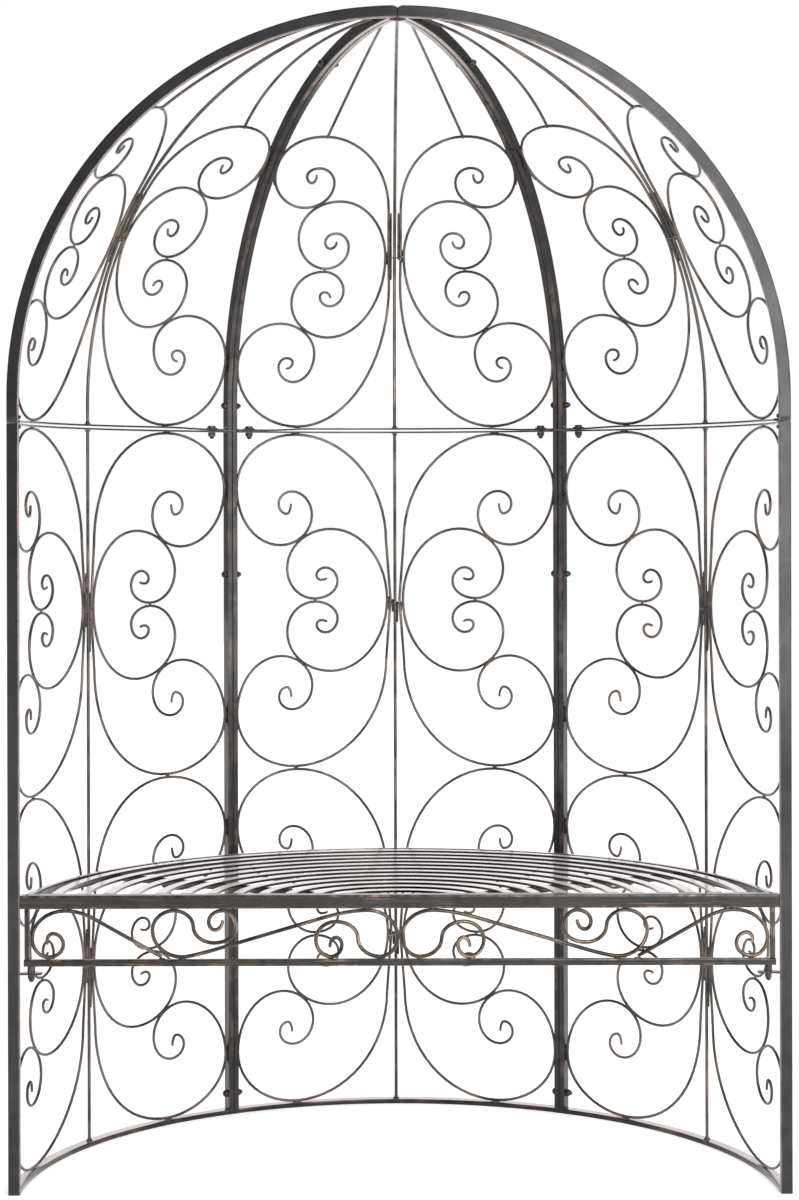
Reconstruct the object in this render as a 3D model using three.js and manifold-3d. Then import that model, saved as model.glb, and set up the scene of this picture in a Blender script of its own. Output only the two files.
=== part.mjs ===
// Half round arbour seat of wrought iron: three wall panels, three dome gores and a slatted bench.
// Millimetres, +Z up, +Y to the rear. The origin is on the floor at the middle of the plan.

import * as THREE from "three";
import { mergeVertices } from "three/addons/utils/BufferGeometryUtils.js";
import Module from "manifold-3d";

const wasm = await Module();
wasm.setup();

// Overall sizes
const outerRadius = 635;
const wallHeight = 1250;
const ribFoot = 35;
const ringGap = 5;
const footRailDrop = 1.6;
const rearBaySpan = THREE.MathUtils.degToRad(57.8);
const sideBaySpan = (Math.PI - rearBaySpan) / 2;

// Clearances
const fit = 0.3;
const seam = 0.6;
const holeClearance = 0.5;

// Flat bar of posts and ribs, on edge
const barDepth = 20;
const barWidth = 9.5;
const ribSteps = 16;

// Rails of the panels and gores
const bottomRailHeight = 8;
const thinRailHeight = 3;
const railSteps = 8;

// Scrollwork rods, drawn square with the round rod's width
const centreRod = 6;
const scrollRod = 5;
const chordSlack = 3;
const weldDepth = 4;
const weldBite = 1;
const collarMargin = 1;
const scrollUnits = 2;

// Bench
const seatHeight = 485;
const frontRailSize = 22;
const rimClearance = 3;
const rimSetForward = 60;
const rimThickness = 12;
const rimHeight = 20;
const rimSteps = 36;
const slatCount = 12;
const slatWidth = 18;
const slatThickness = 4;
const slatSideClearance = 33;
const slatRearClearance = 9;
const innermostSlatDepth = 69;
const supportHeight = 12;
const supportThickness = 4;
const supportStart = 65;
const supportBearing = THREE.MathUtils.degToRad(30.5);
const bracketWidth = 20;
const bracketThickness = 4;

// Apron below the front rail
const apronHeight = 93;
const apronRailSize = 11;
const apronInset = 1;
const apronEndGap = 6;
const endBarWidth = 8.7;
const apronRod = 6.5;
const tabLength = 34.7;
const tabWidth = 16;
const tabThickness = 3;
const tabBoltInset = 17.7;

// Ring bolts
const ringBoltPlace = 38;
const shankRadius = 3;
const headRadius = 9;
const headHeight = 5;
const nutRadius = 7;
const nutHeight = 12;
const nutCrownRadius = 4;
const nutCrownHeight = 4;

// Apron bolts
const spacerRadius = 7;
const spacerHeight = 10;
const capRadius = 6;
const capHeight = 12;
const capCrownRadius = 3.5;

// Places worked out from the sizes
const innerRadius = outerRadius - barDepth;
const rodRadius = (outerRadius + innerRadius) / 2;
const domeFoot = wallHeight + ringGap;
const domeCentre = domeFoot + ribFoot;
const footRailUnderside = domeFoot - footRailDrop;
const footRailTop = footRailUnderside + thinRailHeight;
const topRailUnderside = wallHeight - thinRailHeight;
const unitHeight = (topRailUnderside - bottomRailHeight) / scrollUnits;
const unitReach = unitHeight / 2 - fit - scrollRod / 2;
const quarterArc = (rodRadius * Math.PI) / 2;
const rimRadius = innerRadius - rimClearance;
const slatHalfWidth = rimRadius - rimThickness - slatSideClearance;
const slatDepth = rimRadius - rimThickness - rimSetForward - slatRearClearance;
const slatPitch = (slatDepth - innermostSlatDepth) / (slatCount - 1);
const hexSides = 6;

// Wall scrolls, left side, from the collar: side as a share of half the bay's arc, rise as a share of
// half a unit. The turning points take turns between a level and an upright tangent.
const wallOuterStart = 8.2;
const wallInnerStart = 14.8;
const wallCollarHeight = 8;
const mirrorTouchShare = (scrollRod / 2 + fit) / unitReach;
const wallOuterShares = [
  [-0.052, 0.357], [-0.59, 1], [-0.955, 0.676], [-0.681, 0.334], [-0.491, 0.514],
  [-0.612, 0.657], [-0.693, 0.581], [-0.643, 0.522], [-0.618, 0.583],
];
const wallInnerShares = [
  [-0.379, 0.43], [-0.642, 0.19], [-0.474, mirrorTouchShare], [-0.339, 0.111],
  [-0.411, 0.196], [-0.464, 0.15], [-0.436, 0.122], [-0.404, 0.134],
];

// Dome scrolls, left side: side as a share of half the gore's base arc, rise as a share of the quarter
// arc from the ribs' foot to the top
const domeOuterStart = 11;
const domeInnerStart = 16.8;
const domeCollarShare = 0.285;
const rearGoreLiftShare = 0.0105;
const sideGoreLiftShare = 0.019;
const domeCollarHeight = 20;
const footTouchShare = (footRailTop + fit + scrollRod / 2 - domeCentre) / quarterArc;
const domeUpperOuterShares = [
  [-0.035, 0.382], [-0.386, 0.541], [-0.706, 0.439], [-0.536, 0.382], [-0.349, 0.438],
  [-0.43, 0.468], [-0.511, 0.448], [-0.483, 0.435], [-0.453, 0.453],
];
const domeUpperInnerShares = [
  [-0.308, 0.3975], [-0.566, 0.317], [-0.41, 0.26], [-0.268, 0.304],
  [-0.339, 0.331], [-0.407, 0.312], [-0.379, 0.3], [-0.339, 0.314],
];
const domeLowerInnerShares = [
  [-0.394, 0.127], [-0.606, 0.19], [-0.409, 0.254], [-0.296, 0.218],
  [-0.38, 0.187], [-0.436, 0.204], [-0.407, 0.214], [-0.374, 0.203],
];
const domeLowerOuterShares = [
  [-0.032, 0.229], [-0.576, footTouchShare], [-0.942, 0.065], [-0.669, 0.152], [-0.471, 0.097],
  [-0.601, 0.042], [-0.687, 0.069], [-0.635, 0.087], [-0.601, 0.079], [-0.641, 0.067],
];
const domeFillerTopShare = 0.374;
const slenderRodBendShares = [-0.16, 0.745];
const slenderRodEndShare = 0.933;
const slenderRodSteps = 7;
const centreRodSteps = 12;
const nearestSteps = 8;

// Apron scrolls, right half: side as a share of the way to the end bar, rise as a share of the way
// from the apron's rail to the bench's front rail
const slantEaseShare = 0.18;
const slantEaseSteps = 3;
const endScrollSlantShares = [[0.647, 0], [0.87, 1], [0.91, 1]];
const endScrollShares = [
  [0.91, 1], [1, 0.41], [0.956, 0], [0.915, 0.269], [0.943, 0.51], [0.959, 0.366], [0.955, 0.291],
];
const longOuterCurlShares = [
  [0.482, 0.79], [0.503, 0.58], [0.52, 0.76], [0.482, 1], [0.445, 0.63], [0.505, 0.3],
  [0.562, 0.66], [0.615, 1], [0.673, 0.575], [0.593, 0],
];
const longSlantShares = [[0.593, 0], [0.57, 0], [0.14, 1], [0.087, 1]];

// Materials
const darkIron = new THREE.MeshStandardMaterial({ color: 0x35322f, roughness: 0.5, metalness: 0.6 });
const rubbedIron = new THREE.MeshStandardMaterial({ color: 0x4e433b, roughness: 0.45, metalness: 0.65 });
const apronIron = new THREE.MeshStandardMaterial({ color: 0x7a5a40, roughness: 0.42, metalness: 0.7 });
const boltIron = new THREE.MeshStandardMaterial({ color: 0x2a2826, roughness: 0.45, metalness: 0.7 });

// Solid from a closed geometry
function toSolid(geometry) {
  const bare = geometry.clone();
  bare.deleteAttribute("normal");
  bare.deleteAttribute("uv");
  const merged = mergeVertices(bare);
  return new wasm.Manifold(new wasm.Mesh({
    numProp: 3,
    vertProperties: new Float32Array(merged.attributes.position.array),
    triVerts: new Uint32Array(merged.index.array),
  }));
}

// Geometry from a solid
function toGeometry(solid) {
  const mesh = solid.getMesh();
  const geometry = new THREE.BufferGeometry();
  geometry.setAttribute("position", new THREE.Float32BufferAttribute(mesh.vertProperties, 3));
  geometry.setIndex(Array.from(mesh.triVerts));
  geometry.computeVertexNormals();
  return geometry;
}

function joined(geometries) {
  const [first, ...others] = geometries.map(toSolid);
  return toGeometry(others.reduce((whole, solid) => whole.add(solid), first));
}

function named(name, geometry, material) {
  const mesh = new THREE.Mesh(geometry, material);
  mesh.name = name;
  return mesh;
}

// Corners of a hexagon, for bolts and the holes that they pass through
function hexagon(radius, x, y) {
  return Array.from({ length: hexSides }, (_, corner) => {
    const angle = (corner / hexSides) * 2 * Math.PI;
    return new THREE.Vector2(x + radius * Math.cos(angle), y + radius * Math.sin(angle));
  });
}

// Stack of coaxial six sided lengths, each given by its lower and upper radius and its two levels
function turned(lengths) {
  return joined(lengths.map(({ lower, upper, from, to }) => {
    const geometry = new THREE.CylinderGeometry(upper, lower, to - from, hexSides);
    geometry.rotateY(Math.PI / 2).rotateX(Math.PI / 2);
    return geometry.translate(0, 0, (from + to) / 2);
  }));
}

// Flat bar bent round the Z axis. The offsets keep its ends parallel to the planes that they face.
function arcBar({ outer, width, height, from, to, startOffset, endOffset, steps, holes = [] }) {
  const inner = outer - width;
  const shape = new THREE.Shape();
  shape.absarc(0, 0, outer, from + Math.asin(startOffset / outer), to - Math.asin(endOffset / outer));
  shape.absarc(0, 0, inner, to - Math.asin(endOffset / inner), from + Math.asin(startOffset / inner), true);
  shape.closePath();
  shape.holes = holes.map((corners) => new THREE.Path(corners));
  return new THREE.ExtrudeGeometry(shape, {
    depth: height, steps: 1, bevelEnabled: false, curveSegments: steps / 2,
  });
}

// Rod laid along places on a surface, with its flats kept square to that surface
class SurfacePath extends THREE.Curve {
  constructor(places, surface) {
    super();
    this.spots = places.map(([side, rise]) => surface(side, rise));
  }

  getPoint(t, target = new THREE.Vector3()) {
    const run = t * (this.spots.length - 1);
    const index = Math.min(Math.floor(run), this.spots.length - 2);
    return target.lerpVectors(this.spots[index].point, this.spots[index + 1].point, run - index);
  }

  getUtoTmapping(u) {
    return u;
  }

  computeFrenetFrames() {
    const runs = this.spots.slice(1).map(({ point }, index) => (
      point.clone().sub(this.spots[index].point).normalize()
    ));
    const tangents = this.spots.map((_, index) => {
      const before = runs[Math.max(index - 1, 0)];
      const after = runs[Math.min(index, runs.length - 1)];
      return before.clone().add(after).normalize();
    });
    const normals = this.spots.map(({ normal }, index) => (
      normal.clone().addScaledVector(tangents[index], -normal.dot(tangents[index])).normalize()
    ));
    const binormals = tangents.map((tangent, index) => tangent.clone().cross(normals[index]));
    return { tangents, normals, binormals };
  }
}

function squareSection(size) {
  const half = size / 2;
  return new THREE.Shape([
    new THREE.Vector2(-half, -half), new THREE.Vector2(half, -half),
    new THREE.Vector2(half, half), new THREE.Vector2(-half, half),
  ]);
}

function rod(places, surface, size) {
  return new THREE.ExtrudeGeometry(squareSection(size), {
    steps: places.length - 1, extrudePath: new SurfacePath(places, surface),
  });
}

// Block laid on a surface at one place, turned there by the slant given
function block(side, rise, surface, { width, height, depth, slant = 0 }) {
  const { point, normal } = surface(side, rise);
  const up = new THREE.Vector3(0, 0, 1).addScaledVector(normal, -normal.z).normalize();
  const across = up.clone().cross(normal);
  const geometry = new THREE.BoxGeometry(width, height, depth);
  geometry.rotateZ(slant);
  geometry.applyMatrix4(new THREE.Matrix4().makeBasis(across, up, normal).setPosition(point));
  return geometry;
}

// The number of straight runs that keeps a quarter turn within the slack of its arc
function quarterSteps(reach) {
  const turn = 2 * Math.acos(1 - chordSlack / Math.max(reach, 2 * chordSlack));
  return Math.max(1, Math.round(Math.PI / 2 / turn));
}

// Places along quarter ellipses from turning point to turning point
function scrollPlaces(turns, startsUpright) {
  const places = [turns[0]];
  turns.slice(1).forEach(([toSide, toRise], index) => {
    const [fromSide, fromRise] = turns[index];
    const upright = (index % 2 === 0) === startsUpright;
    const sideRun = toSide - fromSide;
    const riseRun = toRise - fromRise;
    const steps = quarterSteps((Math.abs(sideRun) + Math.abs(riseRun)) / 2);
    for (let step = 1; step <= steps; step += 1) {
      const angle = (step / steps) * (Math.PI / 2);
      const sooner = Math.sin(angle);
      const later = 1 - Math.cos(angle);
      places.push([
        fromSide + sideRun * (upright ? later : sooner),
        fromRise + riseRun * (upright ? sooner : later),
      ]);
    }
  });
  return places;
}

function mirrored(places) {
  return places.map(([side, rise]) => [-side, rise]);
}

// Middle of the nearest approach of two runs of places, the distance there and its slant
function nearest(first, second) {
  const spread = (places) => places.slice(1).flatMap(([side, rise], index) => (
    Array.from({ length: nearestSteps }, (_, part) => [
      THREE.MathUtils.lerp(places[index][0], side, part / nearestSteps),
      THREE.MathUtils.lerp(places[index][1], rise, part / nearestSteps),
    ])
  ));
  const others = spread(second);
  let best = { distance: Infinity };
  spread(first).forEach(([side, rise]) => {
    others.forEach(([otherSide, otherRise]) => {
      const distance = Math.hypot(side - otherSide, rise - otherRise);
      if (distance < best.distance) {
        const slant = Math.atan2(otherRise - rise, otherSide - side);
        best = { distance, slant, side: (side + otherSide) / 2, rise: (rise + otherRise) / 2 };
      }
    });
  });
  return best;
}

// Weld bead between two scroll rods, biting into both
function weld(first, second, surface) {
  const { side, rise, distance, slant } = nearest(first, second);
  const width = distance - scrollRod + 2 * weldBite;
  return block(side, rise, surface, { width, height: scrollRod, depth: weldDepth, slant });
}

// Surfaces in a bay's own frame: side runs to the right seen from inside, Y points outward
function wallSurface(side, rise) {
  const angle = side / rodRadius;
  const normal = new THREE.Vector3(Math.sin(angle), Math.cos(angle), 0);
  const point = normal.clone().multiplyScalar(rodRadius);
  point.z = rise;
  return { point, normal };
}

// Rise is measured along the rib from the sphere's centre, and below it the dome's foot is upright
function domeSurface(side, rise) {
  const elevation = Math.max(rise, 0) / rodRadius;
  const angle = side / (rodRadius * Math.cos(elevation));
  const normal = new THREE.Vector3(
    Math.sin(angle) * Math.cos(elevation), Math.cos(angle) * Math.cos(elevation), Math.sin(elevation),
  );
  const point = normal.clone().multiplyScalar(rodRadius);
  point.z += domeCentre + Math.min(rise, 0);
  return { point, normal };
}

// Widest side position of a rod beside a post or rib, at a rise given as on the dome
function sideLimit(bay, rise, size) {
  const radius = rodRadius * Math.cos(Math.max(rise, 0) / rodRadius);
  return radius * (bay.span / 2 - Math.asin((seam / 2 + barWidth + fit + size / 2) / radius));
}

// Turning points in millimetres, from shares of half the bay's arc and of the rise's reach
function turnsOf(bay, shares, riseReach, scale) {
  return shares.map(([side, rise]) => [side * (bay.span / 2) * rodRadius * scale, rise * riseReach]);
}

// Scale of the side shares at which the outer scroll just meets the bar beside it
function touchingScale(bay, shares, riseReach, limitRise) {
  const free = scrollPlaces(turnsOf(bay, shares, riseReach, 1), true);
  return Math.min(...free.map(([side, rise]) => sideLimit(bay, limitRise(rise), scrollRod) / Math.abs(side)));
}

// Outer and inner half scroll on the left side of a unit
function scrollPair(bay, { outer, inner, outerStart, innerStart, collarRise, riseReach, limitRise }) {
  const scale = touchingScale(bay, outer, riseReach, limitRise);
  const outerTurns = turnsOf(bay, outer, riseReach, scale);
  const innerTurns = turnsOf(bay, inner, riseReach, scale);
  return {
    outerHead: outerTurns[1],
    outerPlaces: [[-outerStart, collarRise], ...scrollPlaces(outerTurns, true)],
    innerPlaces: scrollPlaces([[-innerStart, collarRise], ...innerTurns], true),
    outerCurl: scrollPlaces(outerTurns.slice(1), false),
    innerCurl: scrollPlaces(innerTurns, false),
  };
}

// A rod runs from its upper curl through the collar to its lower curl
function fullRod(upperPlaces, lowerPlaces) {
  return [...upperPlaces.slice(1).reverse(), ...lowerPlaces];
}

// Both sides of one unit of scrolls: rods and the welds between them
function scrollUnit(upper, lower, surface) {
  return [(places) => places, mirrored].flatMap((flip) => [
    rod(flip(fullRod(upper.outerPlaces, lower.outerPlaces)), surface, scrollRod),
    rod(flip(fullRod(upper.innerPlaces, lower.innerPlaces)), surface, scrollRod),
    weld(flip(upper.outerCurl), flip(upper.innerCurl), surface),
    weld(flip(lower.outerCurl), flip(lower.innerCurl), surface),
    weld(flip(upper.innerCurl), flip(lower.innerCurl), surface),
  ]);
}

// The same half unit turned upside down
function overturned(half) {
  const flip = (places) => places.map(([side, rise]) => [side, -rise]);
  return {
    outerPlaces: flip(half.outerPlaces),
    innerPlaces: flip(half.innerPlaces),
    outerCurl: flip(half.outerCurl),
    innerCurl: flip(half.innerCurl),
  };
}

// Grille of a wall panel: centre rod, two units of scrolls, collars and welds
function wallGrille(bay) {
  const upper = scrollPair(bay, {
    outer: wallOuterShares,
    inner: wallInnerShares,
    outerStart: wallOuterStart,
    innerStart: wallInnerStart,
    collarRise: 0,
    riseReach: unitReach,
    limitRise: () => 0,
  });
  const lower = overturned(upper);
  const ends = [[0, bottomRailHeight + fit], [0, topRailUnderside - fit]];
  const pieces = [rod(ends, wallSurface, centreRod)];
  for (let unit = 0; unit < scrollUnits; unit += 1) {
    const middle = bottomRailHeight + (unit + 0.5) * unitHeight;
    const raised = (side, rise) => wallSurface(side, rise + middle);
    pieces.push(...scrollUnit(upper, lower, raised));
    pieces.push(block(0, 0, raised, {
      width: 2 * wallInnerStart + 2 * scrollRod, height: wallCollarHeight, depth: centreRod + collarMargin,
    }));
    if (unit > 0) {
      const joint = -unitHeight / 2;
      const bead = { width: scrollRod, height: 2 * fit + 2 * weldBite, depth: weldDepth };
      pieces.push(block(upper.outerHead[0], joint, raised, bead));
      pieces.push(block(-upper.outerHead[0], joint, raised, bead));
    }
  }
  return joined(pieces);
}

// Slender rod from the top of an outer scroll up to the rib
function slenderRod(bay, head) {
  const endRise = slenderRodEndShare * quarterArc;
  const halfArc = (bay.span / 2) * rodRadius;
  const bend = new THREE.QuadraticBezierCurve(
    new THREE.Vector2(...head),
    new THREE.Vector2(slenderRodBendShares[0] * halfArc, slenderRodBendShares[1] * quarterArc),
    new THREE.Vector2(-sideLimit(bay, endRise, scrollRod), endRise),
  );
  return bend.getPoints(slenderRodSteps).map(({ x, y }) => [x, y]);
}

// Highest rise at which the centre rod still fits between the ribs
function apexRise(bay) {
  const radius = (seam / 2 + barWidth + fit + centreRod / 2) / Math.sin(bay.span / 2);
  return rodRadius * Math.acos(radius / rodRadius);
}

// A gore's scrolls stand higher by its lift, all but the turning point on the foot rail
function lifted(shares, liftShare) {
  return shares.map(([side, rise]) => [side, rise > footTouchShare ? rise + liftShare : rise]);
}

// Grille of a dome gore: centre rod, one unit of scrolls, collar, fillers and two slender rods
function domeGrille(bay) {
  const collarRise = (domeCollarShare + bay.liftShare) * quarterArc;
  const common = {
    outerStart: domeOuterStart,
    innerStart: domeInnerStart,
    collarRise,
    riseReach: quarterArc,
    limitRise: (rise) => rise,
  };
  const upperPair = {
    outer: lifted(domeUpperOuterShares, bay.liftShare),
    inner: lifted(domeUpperInnerShares, bay.liftShare),
  };
  const lowerPair = {
    outer: lifted(domeLowerOuterShares, bay.liftShare),
    inner: lifted(domeLowerInnerShares, bay.liftShare),
  };
  const upper = scrollPair(bay, { ...upperPair, ...common });
  const lower = scrollPair(bay, { ...lowerPair, ...common });
  const foot = footRailTop + fit - domeCentre;
  const top = apexRise(bay);
  const middle = Array.from({ length: centreRodSteps + 1 }, (_, step) => [0, top * (step / centreRodSteps)]);
  const slender = slenderRod(bay, upper.outerHead);
  const fillerLength = (domeFillerTopShare - domeCollarShare) * quarterArc;
  const fillerRise = collarRise + fillerLength / 2;
  const filler = { width: domeOuterStart - centreRod / 2, height: fillerLength, depth: weldDepth };
  return joined([
    rod([[0, foot], ...middle], domeSurface, centreRod),
    ...scrollUnit(upper, lower, domeSurface),
    rod(slender, domeSurface, scrollRod),
    rod(mirrored(slender), domeSurface, scrollRod),
    block(-domeOuterStart / 2, fillerRise, domeSurface, filler),
    block(domeOuterStart / 2, fillerRise, domeSurface, filler),
    block(0, collarRise, domeSurface, {
      width: 2 * domeInnerStart + 2 * scrollRod, height: domeCollarHeight, depth: centreRod + collarMargin,
    }),
  ]);
}

// Ring bolts stand beside each edge that a bay shares with its neighbour
function ringBoltAngles(bay) {
  const half = bay.span / 2;
  const turn = Math.asin(ringBoltPlace / rodRadius);
  return [
    ...(bay.rightShared ? [Math.PI / 2 - half + turn] : []),
    ...(bay.leftShared ? [Math.PI / 2 + half - turn] : []),
  ];
}

function ringHoles(bay) {
  return ringBoltAngles(bay).map((angle) => (
    hexagon(shankRadius + holeClearance, rodRadius * Math.cos(angle), rodRadius * Math.sin(angle))
  ));
}

// Rail of a bay between its two upright bars
function bayRail(bay, height, holes) {
  return arcBar({
    outer: outerRadius,
    width: barDepth,
    height,
    from: Math.PI / 2 - bay.span / 2,
    to: Math.PI / 2 + bay.span / 2,
    startOffset: bay.rightGap + barWidth + fit,
    endOffset: bay.leftGap + barWidth + fit,
    steps: railSteps,
    holes,
  });
}

// Group turned to one edge of a bay, X pointing outward along the edge plane
function edgeGroup(bay, side) {
  const group = new THREE.Group();
  group.rotation.z = Math.PI / 2 + side * (bay.span / 2);
  return group;
}

function stile(bay, side) {
  const gap = side > 0 ? bay.leftGap : bay.rightGap;
  const mesh = named(
    `${bay.name}_wall_${side > 0 ? "left" : "right"}_stile`,
    new THREE.BoxGeometry(barDepth, barWidth, wallHeight),
    darkIron,
  );
  mesh.position.set(outerRadius - barDepth / 2, -side * (gap + barWidth / 2), wallHeight / 2);
  const group = edgeGroup(bay, side);
  group.add(mesh);
  return group;
}

// Rib of a gore: straight foot and quarter circle, mitred on the gore's middle plane at the top
function rib(bay, side) {
  const gap = side > 0 ? bay.leftGap : bay.rightGap;
  const shape = new THREE.Shape();
  shape.moveTo(innerRadius, domeFoot);
  shape.lineTo(outerRadius, domeFoot);
  shape.absarc(0, domeCentre, outerRadius, 0, Math.PI / 2);
  shape.absarc(0, domeCentre, innerRadius, Math.PI / 2, 0, true);
  shape.closePath();
  const geometry = new THREE.ExtrudeGeometry(shape, {
    depth: barWidth, steps: 1, bevelEnabled: false, curveSegments: ribSteps / 2,
  });
  geometry.rotateX(Math.PI / 2);
  geometry.translate(0, side > 0 ? -gap : gap + barWidth, 0);
  geometry.rotateZ(Math.PI / 2 + side * (bay.span / 2));
  const cutSize = 2 * outerRadius;
  const cut = new THREE.BoxGeometry(cutSize, cutSize, cutSize);
  cut.translate(side * (cutSize / 2 - seam / 2), 0, domeCentre + outerRadius);
  return named(
    `${bay.name}_dome_${side > 0 ? "left" : "right"}_rib`,
    toGeometry(toSolid(geometry).subtract(toSolid(cut))),
    darkIron,
  );
}

// Bolt through the top rail and the foot rail, with a spacer between them
function ringBolt(name, angle) {
  const nutTop = topRailUnderside - fit;
  const nutBottom = nutTop - nutHeight;
  const crownTop = nutBottom + nutCrownHeight;
  const headBottom = footRailTop + fit;
  const mesh = named(name, turned([
    { lower: nutCrownRadius, upper: nutRadius, from: nutBottom, to: crownTop },
    { lower: nutRadius, upper: nutRadius, from: crownTop, to: nutTop },
    { lower: shankRadius, upper: shankRadius, from: nutTop - nutHeight / 2, to: headBottom + headHeight / 2 },
    { lower: nutRadius, upper: nutRadius, from: wallHeight + fit, to: footRailUnderside - fit },
    { lower: headRadius, upper: headRadius, from: headBottom, to: headBottom + headHeight },
  ]), boltIron);
  mesh.position.set(rodRadius * Math.cos(angle), rodRadius * Math.sin(angle), 0);
  return mesh;
}

// One bay of the arbour: wall panel below and dome gore above
function bayGroup(bay) {
  const group = new THREE.Group();
  group.rotation.z = bay.centre - Math.PI / 2;
  const holes = ringHoles(bay);
  const bottomRail = named(`${bay.name}_wall_bottom_rail`, bayRail(bay, bottomRailHeight, []), darkIron);
  const topRail = named(`${bay.name}_wall_top_rail`, bayRail(bay, thinRailHeight, holes), darkIron);
  const footRail = named(`${bay.name}_dome_foot_rail`, bayRail(bay, thinRailHeight, holes), darkIron);
  topRail.position.z = topRailUnderside;
  footRail.position.z = footRailUnderside;
  group.add(stile(bay, 1), stile(bay, -1), bottomRail, topRail);
  group.add(named(`${bay.name}_wall_grille`, wallGrille(bay), rubbedIron));
  group.add(rib(bay, 1), rib(bay, -1), footRail);
  group.add(named(`${bay.name}_dome_grille`, domeGrille(bay), rubbedIron));
  ringBoltAngles(bay).forEach((angle) => {
    const place = angle < Math.PI / 2 ? "right" : "left";
    group.add(ringBolt(`${bay.name}_ring_bolt_${place}`, angle));
  });
  return group;
}

// Bench front rail, between the front posts
function frontRail() {
  const mesh = named(
    "seat_front_rail",
    new THREE.BoxGeometry(2 * (innerRadius - fit), frontRailSize, frontRailSize),
    darkIron,
  );
  mesh.position.set(0, fit + frontRailSize / 2, seatHeight - frontRailSize / 2);
  return mesh;
}

const railBack = fit + frontRailSize;

// Bench rim, an arc about a centre in front of the arbour
function seatRim() {
  const offset = rimSetForward + railBack + fit;
  const mesh = named("seat_rim", arcBar({
    outer: rimRadius,
    width: rimThickness,
    height: rimHeight,
    from: 0,
    to: Math.PI,
    startOffset: offset,
    endOffset: offset,
    steps: rimSteps,
  }), darkIron);
  mesh.position.set(0, -rimSetForward, seatHeight - rimHeight);
  return mesh;
}

// Bent flat slat, half an ellipse about the middle of the front
function slat(index) {
  const spread = slatHalfWidth - index * slatPitch;
  const reach = slatDepth - index * slatPitch;
  const front = railBack + fit;
  const outerAngle = Math.asin(front / reach);
  const innerAngle = Math.asin(front / (reach - slatWidth));
  const shape = new THREE.Shape();
  shape.absellipse(0, 0, spread, reach, outerAngle, Math.PI - outerAngle, false, 0);
  shape.absellipse(0, 0, spread - slatWidth, reach - slatWidth, Math.PI - innerAngle, innerAngle, true, 0);
  shape.closePath();
  const steps = 2 * quarterSteps((spread + reach) / 2);
  const mesh = named(`seat_slat_${String(index + 1).padStart(2, "0")}`, new THREE.ExtrudeGeometry(shape, {
    depth: slatThickness, steps: 1, bevelEnabled: false, curveSegments: steps / 2,
  }), darkIron);
  mesh.position.z = seatHeight - slatThickness;
  return mesh;
}

// Flat bar on edge under the slats, from the front rail to the rim, its ends cut to what they meet
function slatSupport(name, side) {
  const along = new THREE.Vector2(Math.cos(supportBearing), Math.sin(supportBearing));
  const across = new THREE.Vector2(-along.y, along.x);
  const halfStep = Math.PI / rimSteps / 2;
  const reach = (rimRadius - rimThickness) * Math.cos(halfStep) - fit;
  const corners = [-supportThickness / 2, supportThickness / 2].map((offset) => {
    const start = new THREE.Vector2(supportStart, railBack + fit).addScaledVector(across, offset);
    start.addScaledVector(along, (railBack + fit - start.y) / along.y);
    const fromCentre = start.clone().add(new THREE.Vector2(0, rimSetForward));
    const forward = fromCentre.dot(along);
    const run = -forward + Math.sqrt(forward ** 2 + reach ** 2 - fromCentre.lengthSq());
    return { start, end: start.clone().addScaledVector(along, run) };
  });
  const [low, high] = corners;
  const outline = [low.start, low.end, high.end, high.start];
  const shape = new THREE.Shape(outline.map(({ x, y }) => new THREE.Vector2(side * x, y)));
  const mesh = named(name, new THREE.ExtrudeGeometry(shape, {
    depth: supportHeight, steps: 1, bevelEnabled: false,
  }), darkIron);
  mesh.position.z = seatHeight - slatThickness - fit - supportHeight;
  return mesh;
}

// Bracket from the rim to a rear post pair, under the level of the slats
function rearBracket(name, bearing) {
  const along = new THREE.Vector2(Math.cos(bearing), Math.sin(bearing));
  const slew = Math.abs(rimSetForward * along.x / rimRadius);
  const clear = rimRadius + fit + (bracketWidth / 2) * slew;
  const start = -rimSetForward * along.y + Math.sqrt(clear ** 2 - (rimSetForward * along.x) ** 2);
  const end = innerRadius - fit;
  const mesh = named(name, new THREE.BoxGeometry(end - start, bracketWidth, bracketThickness), darkIron);
  mesh.position.set((start + end) / 2, 0, seatHeight - rimHeight + bracketThickness / 2);
  const group = new THREE.Group();
  group.rotation.z = bearing;
  group.add(mesh);
  return group;
}

// Levels and ends of the apron
const apronTop = seatHeight - frontRailSize;
const apronRailTop = apronTop - apronHeight + apronRailSize;
const apronHalfLength = innerRadius - apronEndGap;
const apronMiddle = apronInset + apronRailSize / 2;
const endBarInner = apronHalfLength - apronInset - endBarWidth;

function apronRail() {
  const mesh = named(
    "apron_bottom_rail",
    new THREE.BoxGeometry(2 * apronHalfLength, apronRailSize, apronRailSize),
    darkIron,
  );
  mesh.position.set(0, apronMiddle, apronRailTop - apronRailSize / 2);
  return mesh;
}

function apronEndBar(name, side) {
  const height = apronTop - apronRailTop - 2 * fit;
  const mesh = named(name, new THREE.BoxGeometry(endBarWidth, endBarWidth, height), darkIron);
  mesh.position.set(side * (endBarInner + endBarWidth / 2), apronMiddle, (apronTop + apronRailTop) / 2);
  return mesh;
}

const apronLow = apronRailTop + fit + apronRod / 2;
const apronRise = apronTop - fit - apronRod / 2 - apronLow;
const apronReach = endBarInner - fit - apronRod / 2;
const centreTouchShare = (apronRod / 2 + fit) / apronReach;
const longInnerCurlShares = [
  [0.087, 1], [centreTouchShare, 0.432], [0.0544, 0], [0.114, 0.4], [0.1733, 0.756],
  [0.2285, 0.366], [0.1877, 0], [0.1578, 0.247], [0.1733, 0.415], [0.1904, 0.202],
];

function apronSurface(side, rise) {
  return {
    point: new THREE.Vector3(side, apronMiddle, rise),
    normal: new THREE.Vector3(0, -1, 0),
  };
}

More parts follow.
